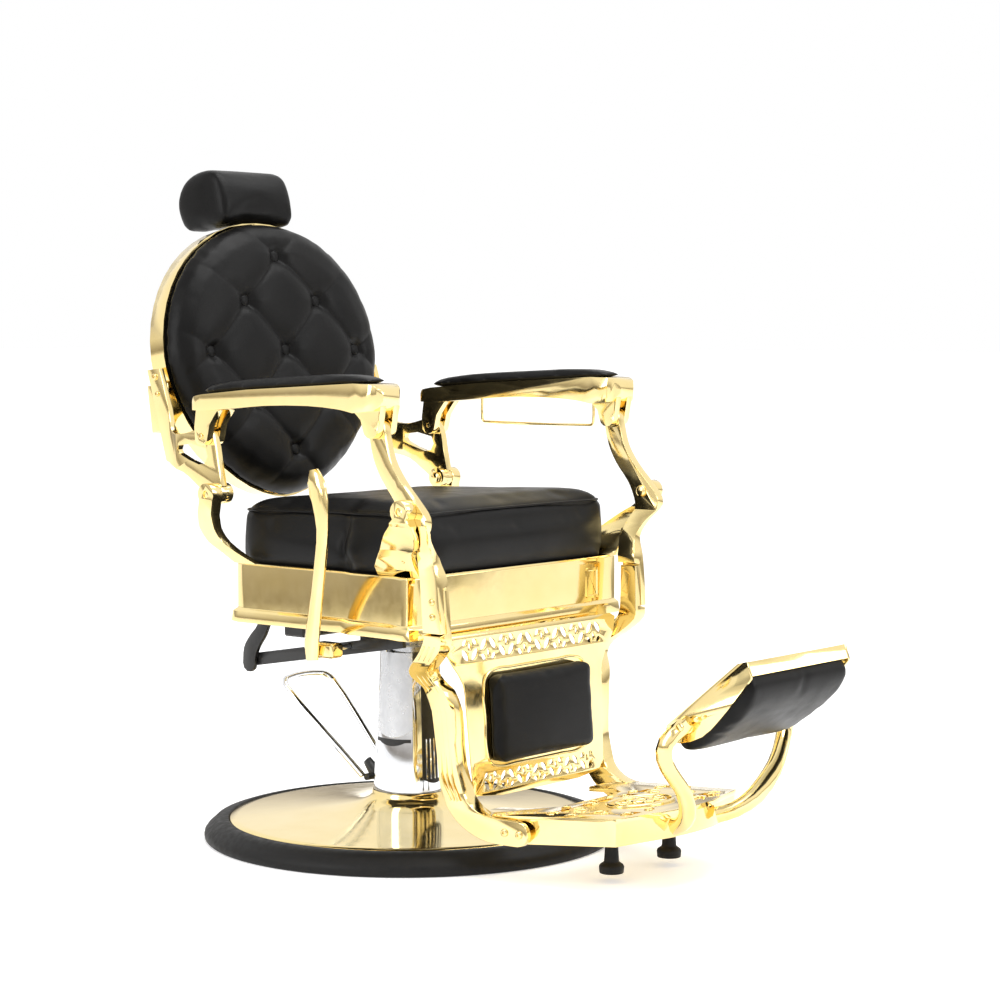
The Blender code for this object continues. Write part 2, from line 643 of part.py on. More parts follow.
def panel_y(z):
    (y_top, z_top), (y_low, z_low) = PANEL_FRONT_TOP, PANEL_FRONT_LOW
    return y_low + (y_top - y_low) * (z - z_low) / (z_top - z_low)


def build_leg_panel(body):
    """Pierced front panel between the two rails, with rows of windows above and below its pad."""
    edge = smooth([(0.222, 0.375), (0.216, 0.352), (0.190, 0.318), (0.1765, 0.290), (0.1765, 0.270),
                   (0.172, 0.180), (0.168, 0.124)], 2)
    low = [(0.10, 0.116)]
    half = [(0.208, 0.381)] + edge + low
    outline = half + [(-x, z) for x, z in reversed(half)]
    holes = []
    for row_z, count, width, height in ((0.353, 7, 0.030, 0.026), (0.140, 6, 0.026, 0.016)):
        span = 0.150 if row_z > 0.3 else 0.130
        for i in range(count):
            cx = -span + 2 * span * i / (count - 1)
            lean = 0.006 * (-1) ** i
            holes.append([(cx - width / 2, row_z - height / 2), (cx + width / 2 - lean, row_z - height / 2),
                          (cx + width / 2, row_z + height / 2), (cx - width / 2 + lean, row_z + height / 2)])
    bm = filled([outline] + holes)
    for vert in bm.verts:
        x, z, face = vert.co
        vert.co = (x, panel_y(z) + (PANEL_T if face < 0 else 0), z)
    add("leg_panel", finish_mesh(bm), "gold", body, smooth=False)
    slope = math.atan2(PANEL_FRONT_TOP[0] - PANEL_FRONT_LOW[0], PANEL_FRONT_TOP[1] - PANEL_FRONT_LOW[1])
    centre_z = 0.241
    turn = Matrix.Rotation(-slope, 4, "X")
    centre = (0, panel_y(centre_z) - LEG_PAD_T / 2 - 2 * GAP, centre_z)
    add("leg_pad", box((LEG_PAD_W, LEG_PAD_T, LEG_PAD_H), centre, turn=turn, bevel=0.006), "leather", body)


def on_tread(x, y, depth=0.0):
    """A point at a depth below the sloping tread."""
    ahead = PLATE_REAR - y
    return (x, y, PLATE_TOP + ahead * math.tan(PLATE_RISE) - depth)


def build_footplate(body):
    """Cast footplate: a deep rim with a pierced tread, its rear corners reaching back as two wings."""
    wing_rear, wing_in = -0.296, 0.112
    front = smooth([(PLATE_HALF_FRONT - 0.012, PLATE_FRONT - 0.004), (0.110, PLATE_FRONT - 0.014),
                    (0.055, PLATE_FRONT - 0.030), (0, PLATE_FRONT - 0.034)], 2)
    half = [(0.0, -0.392), (wing_in - 0.03, -0.388), (wing_in, -0.350), (wing_in + 0.004, wing_rear),
            (0.1695, wing_rear), (0.1695, PLATE_REAR + 0.0015), (PLATE_HALF_REAR, PLATE_REAR - 0.0025),
            (PLATE_HALF_FRONT, PLATE_FRONT)] + front
    outline = half + [(-x, y) for x, y in reversed(half[1:-1])]
    holes = []
    for column, x in enumerate((-0.105, -0.052, 0, 0.052, 0.105)):
        for y in (-0.425, -0.465, -0.505, -0.545):
            if abs(x) < 0.06 and y < -0.45 or abs(abs(x) - FOOT_X) < 0.03 and abs(y - FOOT_Y) < 0.03:
                continue
            y += 0.0007 * column
            holes.append([(x - 0.016, y - 0.010), (x + 0.016, y - 0.0103), (x + 0.016, y + 0.010),
                          (x - 0.016, y + 0.0103)])
    bm = filled([outline] + holes)
    tread = 0.008
    for vert in bm.verts:
        x, y, face = vert.co
        vert.co = on_tread(x, y, 0 if face > 0 else tread)
    plate = finish_mesh(bm)
    rim_out = [(wing_in - 0.03, -0.3885), (0.1890, -0.3880), (PLATE_HALF_FRONT, PLATE_FRONT)] + front
    rim_out = [(0.0, -0.3925)] + rim_out
    rim_out = rim_out + [(-x, y) for x, y in reversed(rim_out[1:-1])]
    rim_out = [(x * 0.995, (y + 0.480) * 0.990 - 0.480) for x, y in rim_out]
    wall = 0.014
    rim_in = [(x * (1 - wall / 0.165), (y + 0.480) * (1 - wall / 0.10) - 0.480) for x, y in rim_out]
    bm = filled([rim_out, rim_in])
    for vert in bm.verts:
        x, y, face = vert.co
        vert.co = on_tread(x, y, tread / 2 if face > 0 else PLATE_DEPTH)
    rim = cutter("footplate_rim", finish_mesh(bm))
    obj = add("footplate", plate, "gold", body, smooth=False)
    boolean(obj, rim, "UNION")
    for side, sign in SIDES:
        top = on_tread(FOOT_X, FOOT_Y, tread)[2] - 4 * GAP
        profile = [(0, top), (0.0085, top), (0.0095, 0.068), (0.012, FOOT_Z + 0.018), (0.019, FOOT_Z + 0.013),
                   (0.020, FOOT_Z + 0.010), (0.019, FOOT_Z), (0, FOOT_Z)]
        turned(f"rubber_foot_{side}", profile, "rubber", body, place=(0, 0, 0), steps=20)
        foot = bpy.data.objects[f"rubber_foot_{side}"]
        move_turned(foot, (sign * FOOT_X, FOOT_Y, 0))


def move_turned(obj, place):
    """Move a turned piece off the axis: its own origin goes to the place, with its screw."""
    obj.location = Vector(place)


def build_rest_arms(body):
    """Two lyre-shaped arms, from the footplate's front edge out and up to the footrest's pivots."""
    start_y = PLATE_FRONT - 0.0134
    for side, sign in SIDES:
        stations = [(0.058, start_y - 0.0198, 0.098, 0.028, 0.018), (0.072, -0.618, 0.107, 0.027, 0.022),
                    (0.092, -0.643, 0.130, 0.031, 0.024), (0.121, -0.656, 0.167, 0.032, 0.018),
                    (0.144, -0.654, 0.193, 0.031, 0.015), (0.163, -0.650, 0.222, 0.030, 0.014),
                    (0.164, -0.654, 0.248, 0.028, 0.013), (0.1475, REST_PIVOT[0], REST_PIVOT[1], 0.026, 0.0125),
                    (0.1475, REST_PIVOT[0] - 0.012, REST_PIVOT[1] + 0.010, 0.020, 0.0125)]
        placed = [(sign * x, *rest) for x, *rest in stations]
        obj = add(f"rest_arm_{side}", bar(placed, (1, 0, 0.0), sides=8, steps=2), "gold", body)
        boolean(obj, pivot_cutter(sign, REST_PIVOT, 0.130, 0.170))


# ---------------------------------------------------------------- footrest

def rest_frame_point(u, n, x=0.0):
    """Footrest coordinates: u up along the frame from the pivot, n out of its padded side."""
    up = Vector((-math.cos(REST_ANGLE), math.sin(REST_ANGLE)))
    out = Vector((-math.sin(REST_ANGLE), -math.cos(REST_ANGLE)))
    y, z = Vector(REST_PIVOT) + up * u + out * n
    return (x, y, z)


def build_footrest(body):
    """Tray of two cheeks, a back and an end wall, with a bulging pad in its open side."""
    wall, back_n = 0.005, -0.021
    end_u = 0.149
    cheek = ([(-0.037, -0.014), (-0.030, back_n), (end_u - 0.015, back_n), (end_u, back_n + 0.007),
              (end_u - 0.0075, 0.007)]
             + smooth([(end_u - 0.010, 0.010), (0.099, 0.0185), (0.053, 0.0266), (0.013, 0.0286), (-0.028, 0.0135),
                       (-0.0387, -0.003)], 2))

    def cheek_mesh(x0, x1):
        loop = [rest_frame_point(u, n)[1:] for u, n in cheek]
        return side_casting(1, [loop], lambda y, z: x0, lambda y, z: x1)
    frame = add("footrest_frame", cheek_mesh(REST_HALF_W - wall, REST_HALF_W), "gold", body, smooth=False)
    boolean(frame, cutter("cheek", cheek_mesh(-REST_HALF_W, -REST_HALF_W + wall)), "UNION")
    tray = [(-0.030, back_n + 0.0003), (end_u - 0.0150, back_n + 0.0003), (end_u - 0.0004, back_n + 0.0072),
            (end_u - 0.0078, 0.0066), (end_u - 0.0125, 0.0050), (end_u - 0.0060, back_n + 0.0095),
            (end_u - 0.0160, back_n + wall), (-0.030, back_n + wall)]
    inside = REST_HALF_W - 0.001
    rings = [[rest_frame_point(u, n, x) for u, n in tray] for x in (-inside, inside)]
    boolean(frame, cutter("rest_tray", loft(rings)), "UNION")
    for side, sign in SIDES:
        boolean(frame, pivot_cutter(sign, REST_PIVOT, 0.120, 0.145))
    half = REST_HALF_W - wall - 0.0008
    low = back_n + wall + 0.0008
    section = ([(-0.028, low), (end_u - 0.0168, low), (end_u - 0.0076, back_n + 0.0106), (end_u - 0.0135, 0.0055),
                (end_u - 0.0132, 0.0080)]
               + smooth([(end_u - 0.0130, 0.0125), (0.130, 0.0250), (0.103, 0.0355), (0.066, 0.0390),
                         (0.025, 0.0380), (-0.012, 0.0330), (-0.036, 0.0235), (-0.0365, 0.010)], 2))
    rings = [[rest_frame_point(u, n, x) for u, n in section] for x in (-half, half)]
    pad = add("footrest_pad", loft(rings), "leather", body)
    head_room = 0.0118
    for side, sign in SIDES:
        boolean(pad, pivot_cutter(sign, REST_PIVOT, half - 0.010, half + 0.01, radius=head_room))
        pivot_bolt(f"footrest_bolt_{side}", sign, REST_PIVOT, REST_HALF_W - wall, 0.156, body)


# ---------------------------------------------------------------- armrests

def arm_x(y):
    (y0, x0), (y1, x1) = (ARM_FRONT[0], ARM_X_FRONT), (ARM_REAR[0], ARM_X_REAR)
    return x0 + (x1 - x0) * (y - y0) / (y1 - y0)


def build_armrest(side, sign, body):
    top = smooth([(0.198, 0.744), (0.192, 0.7515), (0.150, 0.757), (0.060, 0.765), (-0.060, 0.772),
                  (-0.150, 0.777), (-0.212, 0.778), (-0.230, 0.768), (-0.232, 0.752), (-0.222, 0.737)], 2)
    under = smooth([(-0.180, 0.733), (-0.150, 0.738), (-0.080, 0.742), (0.020, 0.740), (0.110, 0.733),
                    (0.160, 0.729), (0.198, 0.729)], 2)
    half = bend([(-0.232, 0.50 * ARM_W - 0.017), (-0.226, 0.50 * ARM_W - 0.008), (-0.215, 0.50 * ARM_W - 0.002),
                 (-0.200, 0.50 * ARM_W), (0.184, 0.50 * ARM_W), (0.198, 0.50 * ARM_W - 0.005)])
    mesh = side_casting(sign, [top + under], lambda y, z: arm_x(y) - half(y), lambda y, z: arm_x(y) + half(y),
                        cuts_y=(-0.226, -0.215, -0.200, 0.184))
    arm = add(f"armrest_{side}", mesh, "gold", body)
    front_ear = ([(-0.228, 0.744)] + arc(ARM_FRONT, 0.0155, 190, 350, 6) + smooth(
        [(-0.186, 0.722), (-0.172, 0.734), (-0.158, 0.742)], 2))
    rear_ear = ([(0.197, 0.744), (0.2035, 0.700)] + arc(ARM_REAR, 0.0155, 0, -180, 6)[1:]
                + smooth([(0.168, 0.705), (0.150, 0.728), (0.132, 0.740)], 2))
    front_layers = ((POST_IN - EAR_GAP - EAR_T, POST_IN - EAR_GAP), (POST_OUT + EAR_GAP, POST_OUT + EAR_GAP + EAR_T))
    rear_layers = ((BRACKET_IN - EAR_GAP - EAR_T, BRACKET_IN - EAR_GAP),
                   (BRACKET_OUT + EAR_GAP, BRACKET_OUT + EAR_GAP + EAR_T))
    for ear, layers in ((front_ear, front_layers), (rear_ear, rear_layers)):
        for x0, x1 in layers:
            plate = side_casting(sign, [ear], lambda y, z, x0=x0: x0, lambda y, z, x1=x1: x1)
            boolean(arm, cutter("ear", plate), "UNION")
    stub = cylinder(0.0045, (sign * (POST_IN - EAR_GAP - EAR_T + 0.002), *ARM_FRONT),
                    (sign * (POST_OUT + EAR_GAP + EAR_T - 0.002), *ARM_FRONT), segments=14)
    boolean(arm, cutter("front_stub", stub), "UNION")
    boolean(arm, pivot_cutter(sign, ARM_REAR, 0.25, 0.34, radius=0.0047))
    build_arm_pad(side, sign, body)
    arm_pin(f"arm_rear_pin_{side}", sign, ARM_REAR, rear_layers[0][0], rear_layers[1][1], body)


def arm_pin(name, sign, pivot, x_in, x_out, body):
    add(name, cylinder(0.0044, (sign * (x_in + 0.001), *pivot), (sign * (x_out - 0.001), *pivot), segments=14),
        "steel", body)


def build_arm_pad(side, sign, body):
    """Long pad on the armrest: its outline follows the arm, and its top is crowned."""
    stations = smooth([(0.186, 0.7528), (0.150, 0.757), (0.060, 0.765), (-0.060, 0.772), (-0.150, 0.777),
                       (-0.206, 0.7782)], 2)
    rings = []
    for i, (y, z) in enumerate(stations):
        end = min(i, len(stations) - 1 - i)
        height = (0.005, 0.010, 0.012, 0.014)[min(end, 3)]
        half = (0.022, 0.028, 0.030, 0.030)[min(end, 3)]
        base = z + 0.0012
        centre = arm_x(y)
        rings.append([(sign * (centre + dx), y, base + dz) for dx, dz in (
            (-half, 0), (half, 0), (half, height * 0.45), (half * 0.6, height), (-half * 0.6, height),
            (-half, height * 0.45))])
    add(f"arm_pad_{side}", loft(rings), "leather", body)


def build_towel_bar(body):
    """Wire bar that hangs under the left armrest, between two hooks."""
    x, drop = ARM_X_FRONT, 0.694
    y0, y1 = 0.092, -0.160
    corner = 0.006
    route = [(x, y0, TOWEL_TOP), (x, y0, drop + corner), (x, y0 - corner, drop),
             (x, y1 + corner, drop), (x, y1, drop + corner), (x, y1, TOWEL_TOP)]
    for y in (y0, y1):
        socket = cylinder(TOWEL_R + GAP, (x, y, TOWEL_TOP + GAP), (x, y, 0.7))
        boolean(bpy.data.objects["armrest_l"], cutter("towel_socket", socket))
    rod("towel_bar", route, TOWEL_R, "gold", body, steps=3)


# ---------------------------------------------------------------- back

def on_back(x, t, n):
    """Back coordinates: t up the leaning plane, n rearwards from it."""
    up = Vector((0, math.sin(BACK_LEAN), math.cos(BACK_LEAN)))
    rear = Vector((0, math.cos(BACK_LEAN), -math.sin(BACK_LEAN)))
    return BACK_CENTRE + Vector((x, 0, 0)) + up * t + rear * n


def back_ring(n, inset=0.0, count=48):
    ring = []
    for k in range(count):
        angle = 2 * math.pi * k / count
        c, s = math.cos(angle), math.sin(angle)
        power = 2 / (BACK_POWER_UP if s > 0 else BACK_POWER_DOWN)
        height = (BACK_UP if s > 0 else BACK_DOWN) - inset
        x = (BACK_HALF_W - inset) * math.copysign(abs(c) ** power, c)
        ring.append(on_back(x, height * math.copysign(abs(s) ** power, s), n))
    return ring


def build_back(body):
    wall = SHELL_WALL
    outside = [(SHELL_DEPTH, 0.044), (0.047, 0.016), (0.036, 0.003), (0.0, 0.0)]
    inside = [(0.0, wall), (0.034, wall + 0.003), (0.043, 0.020), (SHELL_DEPTH - wall, 0.046)]
    shell = loft([back_ring(n, inset) for n, inset in outside + inside])
    obj = add("back_shell", shell, "gold", body)
    slot_t = BACK_UP - 0.004
    boolean(obj, cutter("post_slot", oriented_box((0.034, 0.030, 0.008), (0, slot_t, POST_N))))
    # Board that closes the shell and holds the buttons
    board = loft([back_ring(0.0006, wall + 0.002), back_ring(0.0098, wall + 0.004)])
    add("back_board", board, "wood", body, smooth=False)
    pad = loft([back_ring(-0.0004, 0.0005), back_ring(-0.012, 0.001), back_ring(-0.024, 0.009),
                back_ring(-0.038, 0.028), back_ring(-0.046, 0.060), back_ring(-PAD_DEPTH, 0.105)])
    add("back_cushion", pad, "leather", body)


def oriented_box(size, place, bevel=0.0):
    """A box in back coordinates: size (x, t, n) at place (x, t, n)."""
    turn = Matrix.Rotation(-BACK_LEAN, 4, "X")
    return box((size[0], size[2], size[1]), on_back(*place), turn=turn, bevel=bevel)


def head_ring(x, inset=0.0):
    """The bolster's outline at one x: (rearwards, upwards) points, its flat underside arched in x."""
    low = HEAD_LOW + HEAD_ARCH * (1 - (x / HEAD_HALF_W) ** 2)
    top = HEAD_LOW + HEAD_H
    upper = smooth([(-0.014, low + 0.012), (-0.015, top - 0.064), (-0.009, top - 0.030), (0.004, top - 0.008),
                    (0.030, top), (0.062, top - 0.002), (0.090, top - 0.016), (0.107, top - 0.042),
                    (0.108, top - 0.070), (0.100, low + 0.010)], 2)
    ring = upper + [(0.088, low), (-0.002, low)]
    middle_n, middle_t = 0.047, (top + low) / 2
    scale_n, scale_t = 1 - inset / 0.061, 1 - inset / 0.052
    return [on_back(x, middle_t + (t - middle_t) * scale_t, middle_n + (n - middle_n) * scale_n)
            for n, t in ring]


def build_head_rest(body):
    """Bolster on a flat post that slides in a sleeve inside the back shell."""
    end = HEAD_HALF_W
    rings = [head_ring(x, inset) for x, inset in ((-end, 0.009), (0.003 - end, 0.003), (0.012 - end, 0), (-0.030, 0),
                                                  (0.030, 0), (end - 0.012, 0), (end - 0.003, 0.003), (end, 0.009))]
    cushion = add("headrest_cushion", loft(rings), "leather", body)
    top, low = HEAD_LOW + 0.055, BACK_UP - 0.135
    post = oriented_box((0.0320, top - low, 0.0060), (0, (top + low) / 2, POST_N))
    add("headrest_post", post, "chrome", body, smooth=False)
    pocket = oriented_box((0.0326, 0.060, 0.0066), (0, HEAD_LOW + 0.0253, POST_N))
    boolean(cushion, cutter("post_pocket", pocket))


def build_head_sleeve(body):
    """Rectangular sleeve behind the board, which guides the headrest post."""
    top, low = BACK_UP - 0.016, BACK_UP - 0.115
    sleeve = oriented_box((0.0420, top - low, 0.0178), (0, (top + low) / 2, POST_N))
    obj = add("headrest_sleeve", sleeve, "steel", body, smooth=False)
    hole = oriented_box((0.0328, top - low + 0.02, 0.0068), (0, (top + low) / 2, POST_N))
    boolean(obj, cutter("sleeve_hole", hole))


def build_back_brackets(body):
    """Side brackets: boss and armrest eye on a webbed plate, with a strap bent in to the back."""
    inner = bend([(0.262, BRACKET_IN), (0.300, 0.262), (0.360, 0.262)])
    outer = bend([(0.262, BRACKET_OUT), (0.300, 0.272), (0.360, 0.272)])
    front = arc(ARM_REAR, 0.014, 90, 180, 5) + smooth([(0.168, 0.668), (0.163, 0.640), (0.155, 0.604)], 2)
    boss = arc(REAR_PIVOT, 0.0175, 140, 330, 9)
    rear = smooth([(0.196, 0.593), (0.215, 0.606), (0.245, 0.624), (0.282, 0.633), (0.306, 0.640)], 2)
    strap = [(0.351, 0.792), (0.322, 0.795)]
    upper = smooth([(0.293, 0.706), (0.284, 0.692), (0.252, 0.687), (0.215, 0.695)], 2)
    loop = front + boss + rear + strap + upper
    window = [(0.257, 0.668), (0.226, 0.672), (0.192, 0.665), (0.187, 0.652), (0.194, 0.640), (0.208, 0.638),
              (0.232, 0.645), (0.256, 0.655), (0.260, 0.661)]
    for side, sign in SIDES:
        mesh = side_casting(sign, [loop, window], lambda y, z: inner(y), lambda y, z: outer(y),
                            cuts_y=(0.262, 0.300))
        obj = add(f"back_bracket_{side}", mesh, "gold", body)
        sleeve = cylinder(0.0175, (sign * 0.2655, *REAR_PIVOT), (sign * (BRACKET_IN + 0.002), *REAR_PIVOT))
        boolean(obj, cutter("bracket_boss", sleeve), "UNION")
        boolean(obj, pivot_cutter(sign, REAR_PIVOT, 0.255, 0.305))
        boolean(obj, pivot_cutter(sign, ARM_REAR, 0.270, 0.300, radius=0.0047))
    # Channel behind the back, folded round to the two straps
    side, thick = BACK_HALF_W + 0.0066, 0.005
    rear, front = SHELL_DEPTH + 0.0055, -0.006
    half = [(side, front), (side, rear - 0.016), (side - 0.027, rear)]
    lining = [(side - thick, front), (side - thick, rear - 0.0175), (side - 0.030, rear - thick)]
    section = half + [(-x, n) for x, n in reversed(half)] + [(-x, n) for x, n in lining] + lining[::-1]
    rings = [[on_back(x, t, n) for x, n in section] for t in (-0.125, -0.045)]
    add("back_channel", loft(rings), "gold", body, smooth=False)


# ---------------------------------------------------------------- recline lever

def build_lever(body):
    """Hand lever clamped to a cross rod at the sitter's right, which frees the recline lock."""
    y, z = LEVER_AXIS
    x = -0.290
    stations = [(x, -0.048, 0.333, 0.026, 0.012), (x, -0.047, 0.360, 0.031, 0.013), (x, -0.058, 0.430, 0.026, 0.013),
                (x, -0.068, 0.500, 0.024, 0.013), (x, -0.072, 0.545, 0.026, 0.013), (x, -0.066, 0.590, 0.036, 0.014),
                (x, -0.058, 0.620, 0.036, 0.014), (x, -0.054, 0.639, 0.018, 0.010)]
    add("recline_lever", bar(stations, (1, 0, 0), sides=10, steps=2), "gold", body)
    # Clamp between the lever and the rod, then the rod across under the seat
    clamp = box((0.030, 0.044, 0.024), (x + 0.0068 + 0.015, y, z - 0.001), bevel=0.004)
    obj = add("lever_clamp", clamp, "gold", body, smooth=False)
    bore = cylinder(RELEASE_R + GAP, (x + 0.012, y, z), (x + 0.060, y, z))
    boolean(obj, cutter("clamp_bore", bore))
    add("release_rod", cylinder(RELEASE_R, (x + 0.013, y, z), (-0.150, y, z), segments=14), "chrome", body)


# ---------------------------------------------------------------- assembly

clear_scene()
PARTS = new_collection("hydraulic_barber_chair")
CUTTERS = new_collection("cutters")
MATERIALS = {name: make_material(name) for name in FINISHES}

base = axis_empty("base_axis", (0, 0, 0))
pump = axis_empty("swivel_axis", (0, 0, COVER_H), base)
pedal = axis_empty("pedal_axis", PEDAL_PIVOT, pump)
chair = axis_empty("lift_axis", (0, 0, PUMP_H), pump)
lever = axis_empty("lever_axis", (-0.290, *LEVER_AXIS), chair)
leg = axis_empty("leg_axis", (0, *FRONT_PIVOT), chair)
footrest = axis_empty("footrest_axis", (0, *REST_PIVOT), leg)
back = axis_empty("back_axis", (0, *REAR_PIVOT), chair)
headrest = axis_empty("headrest_axis", on_back(0, BACK_UP, POST_N), back)
arms = {side: axis_empty(f"armrest_axis_{side}", (sign * ARM_X_REAR, *ARM_REAR), back) for side, sign in SIDES}

build_base(base)
build_pump(pump)
build_pedal(pedal)
build_seat_frame(chair)
build_skirt(chair)
build_seat_cushion(chair)
build_under_bars(chair)
build_front_brackets(chair)
build_rear_stands(chair)
build_pivot_bolts(chair)
build_arm_posts(leg)
build_leg_rails(leg)
build_leg_panel(leg)
build_footplate(leg)
build_rest_arms(leg)
build_footrest(footrest)
for side, sign in SIDES:
    build_armrest(side, sign, arms[side])
build_towel_bar(arms["l"])
build_back(back)
build_head_sleeve(back)
build_back_brackets(back)
build_head_rest(headrest)
build_lever(lever)
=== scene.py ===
"""Hydraulic barber chair, built in the order of its assembly: base, pump, seat, leg frame, arms, back."""
import json
import math

import bmesh
import bpy
from mathutils import Matrix, Vector

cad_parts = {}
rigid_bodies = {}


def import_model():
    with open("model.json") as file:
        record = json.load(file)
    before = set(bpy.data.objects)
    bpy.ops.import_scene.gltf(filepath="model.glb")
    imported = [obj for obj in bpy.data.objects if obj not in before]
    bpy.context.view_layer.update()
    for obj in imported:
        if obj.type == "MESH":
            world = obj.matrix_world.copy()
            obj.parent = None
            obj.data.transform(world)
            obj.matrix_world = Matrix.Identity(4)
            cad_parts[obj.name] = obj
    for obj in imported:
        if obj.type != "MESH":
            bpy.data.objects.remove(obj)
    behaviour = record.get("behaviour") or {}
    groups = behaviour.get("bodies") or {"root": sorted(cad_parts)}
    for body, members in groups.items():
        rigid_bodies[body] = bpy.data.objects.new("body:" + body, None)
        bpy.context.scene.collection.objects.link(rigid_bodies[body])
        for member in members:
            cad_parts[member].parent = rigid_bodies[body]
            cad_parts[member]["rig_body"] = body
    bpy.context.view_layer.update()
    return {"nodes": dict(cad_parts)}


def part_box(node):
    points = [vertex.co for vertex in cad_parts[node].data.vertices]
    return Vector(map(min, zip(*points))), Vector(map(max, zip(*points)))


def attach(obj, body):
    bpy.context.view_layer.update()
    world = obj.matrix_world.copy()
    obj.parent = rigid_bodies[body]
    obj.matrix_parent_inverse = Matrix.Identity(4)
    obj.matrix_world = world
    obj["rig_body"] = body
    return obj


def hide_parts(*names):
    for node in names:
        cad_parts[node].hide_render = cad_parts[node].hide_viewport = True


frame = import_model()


# ---------------------------------------------------------------- studio
# A seamless pale floor under soft overhead and side panels, with darker room tones between
# them, so that polished metal shows its shape.

# how far up the room each tone starts, from the floor at 0 to the ceiling at 1
ROOM_BANDS = ((0.485, (0.92, 0.91, 0.90, 1)), (0.51, (0.30, 0.27, 0.24, 1)), (0.545, (0.62, 0.59, 0.56, 1)),
              (0.60, (0.98, 0.97, 0.96, 1)), (0.86, (1.0, 1.0, 1.0, 1)), (0.93, (0.55, 0.53, 0.51, 1)))


def studio_world():
    """The camera sees plain white past the floor; what shines shows the banded room."""
    world = bpy.data.worlds.new("studio")
    bpy.context.scene.world = world
    world.use_nodes = True
    tree = world.node_tree
    tree.nodes.clear()
    place = tree.nodes.new("ShaderNodeTexCoord")
    split = tree.nodes.new("ShaderNodeSeparateXYZ")
    tree.links.new(place.outputs["Generated"], split.inputs[0])
    height = tree.nodes.new("ShaderNodeMapRange")
    height.inputs["From Min"].default_value = -1
    height.inputs["From Max"].default_value = 1
    tree.links.new(split.outputs["Z"], height.inputs["Value"])
    ramp = tree.nodes.new("ShaderNodeValToRGB")
    stops = ramp.color_ramp.elements
    stops[0].position, stops[0].color = 0.0, (0.80, 0.79, 0.78, 1)
    stops[1].position, stops[1].color = 1.0, (1.0, 1.0, 1.0, 1)
    for where, colour in ROOM_BANDS:
        stop = stops.new(where)
        stop.color = colour
    tree.links.new(height.outputs["Result"], ramp.inputs["Fac"])
    room = tree.nodes.new("ShaderNodeBackground")
    room.inputs["Strength"].default_value = 1.05
    tree.links.new(ramp.outputs["Color"], room.inputs["Color"])
    sweep = tree.nodes.new("ShaderNodeBackground")
    sweep.inputs["Color"].default_value = (1, 1, 1, 1)
    sweep.inputs["Strength"].default_value = 1.0
    path = tree.nodes.new("ShaderNodeLightPath")
    mix = tree.nodes.new("ShaderNodeMixShader")
    tree.links.new(path.outputs["Is Camera Ray"], mix.inputs["Fac"])
    tree.links.new(room.outputs[0], mix.inputs[1])
    tree.links.new(sweep.outputs[0], mix.inputs[2])
    out = tree.nodes.new("ShaderNodeOutputWorld")
    tree.links.new(mix.outputs[0], out.inputs["Surface"])


def soft_panel(name, place, target, size, power):
    light = bpy.data.lights.new(name, "AREA")
    light.shape = "RECTANGLE"
    light.size, light.size_y = size
    light.energy = power
    obj = bpy.data.objects.new(name, light)
    bpy.context.collection.objects.link(obj)
    obj.location = place
    obj.rotation_euler = (Vector(target) - Vector(place)).to_track_quat("-Z", "Y").to_euler()


studio_world()
soft_panel("top_panel", (0.4, -0.6, 3.2), (0, 0, 0.5), (2.6, 2.2), 62)
soft_panel("left_panel", (-2.8, 0.6, 1.8), (0, 0, 0.7), (1.2, 2.2), 30)
soft_panel("front_panel", (1.6, -3.4, 2.0), (0, 0, 0.6), (1.6, 1.8), 26)

camera = bpy.data.objects.new("camera", bpy.data.cameras.new("camera"))
bpy.context.collection.objects.link(camera)
camera.data.lens = 90.9
camera.data.clip_end = 200
camera.location = (-3.199, -2.831, 0.874)
CAMERA_AIM = Vector((0.0975, -0.1185, 0.5724))
camera.rotation_euler = (CAMERA_AIM - camera.location).to_track_quat("-Z", "Y").to_euler()
bpy.context.scene.camera = camera
bpy.context.scene.view_settings.view_transform = "Standard"


def link_piece(name, bm, body, material):
    """Turns a bmesh into a finished piece that rides on a body."""
    mesh = bpy.data.meshes.new(name)
    bm.to_mesh(mesh)
    bm.free()
    for face in mesh.polygons:
        face.use_smooth = True
    obj = bpy.data.objects.new(name, mesh)
    bpy.context.collection.objects.link(obj)
    mesh.materials.append(material)
    if body:
        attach(obj, body)
    return obj


def new_material(name, colour, metallic, roughness):
    material = bpy.data.materials.new(name)
    material.use_nodes = True
    shader = material.node_tree.nodes["Principled BSDF"]
    shader.inputs["Base Color"].default_value = (*colour, 1)
    shader.inputs["Metallic"].default_value = metallic
    shader.inputs["Roughness"].default_value = roughness
    return material, material.node_tree, shader


def surface_noise(tree, scale, detail=3.0, kind="ShaderNodeTexNoise"):
    place = tree.nodes.new("ShaderNodeTexCoord")
    texture = tree.nodes.new(kind)
    texture.inputs["Scale"].default_value = scale
    if kind == "ShaderNodeTexNoise":
        texture.inputs["Detail"].default_value = detail
    tree.links.new(place.outputs["Object"], texture.inputs["Vector"])
    return texture


def vary(tree, source, low, high, socket, start=0.3, end=0.7):
    """Maps a texture's value to a range of a shader's input."""
    span = tree.nodes.new("ShaderNodeMapRange")
    for name, value in (("From Min", start), ("From Max", end), ("To Min", low), ("To Max", high)):
        span.inputs[name].default_value = value
    tree.links.new(source, span.inputs["Value"])
    tree.links.new(span.outputs["Result"], socket)


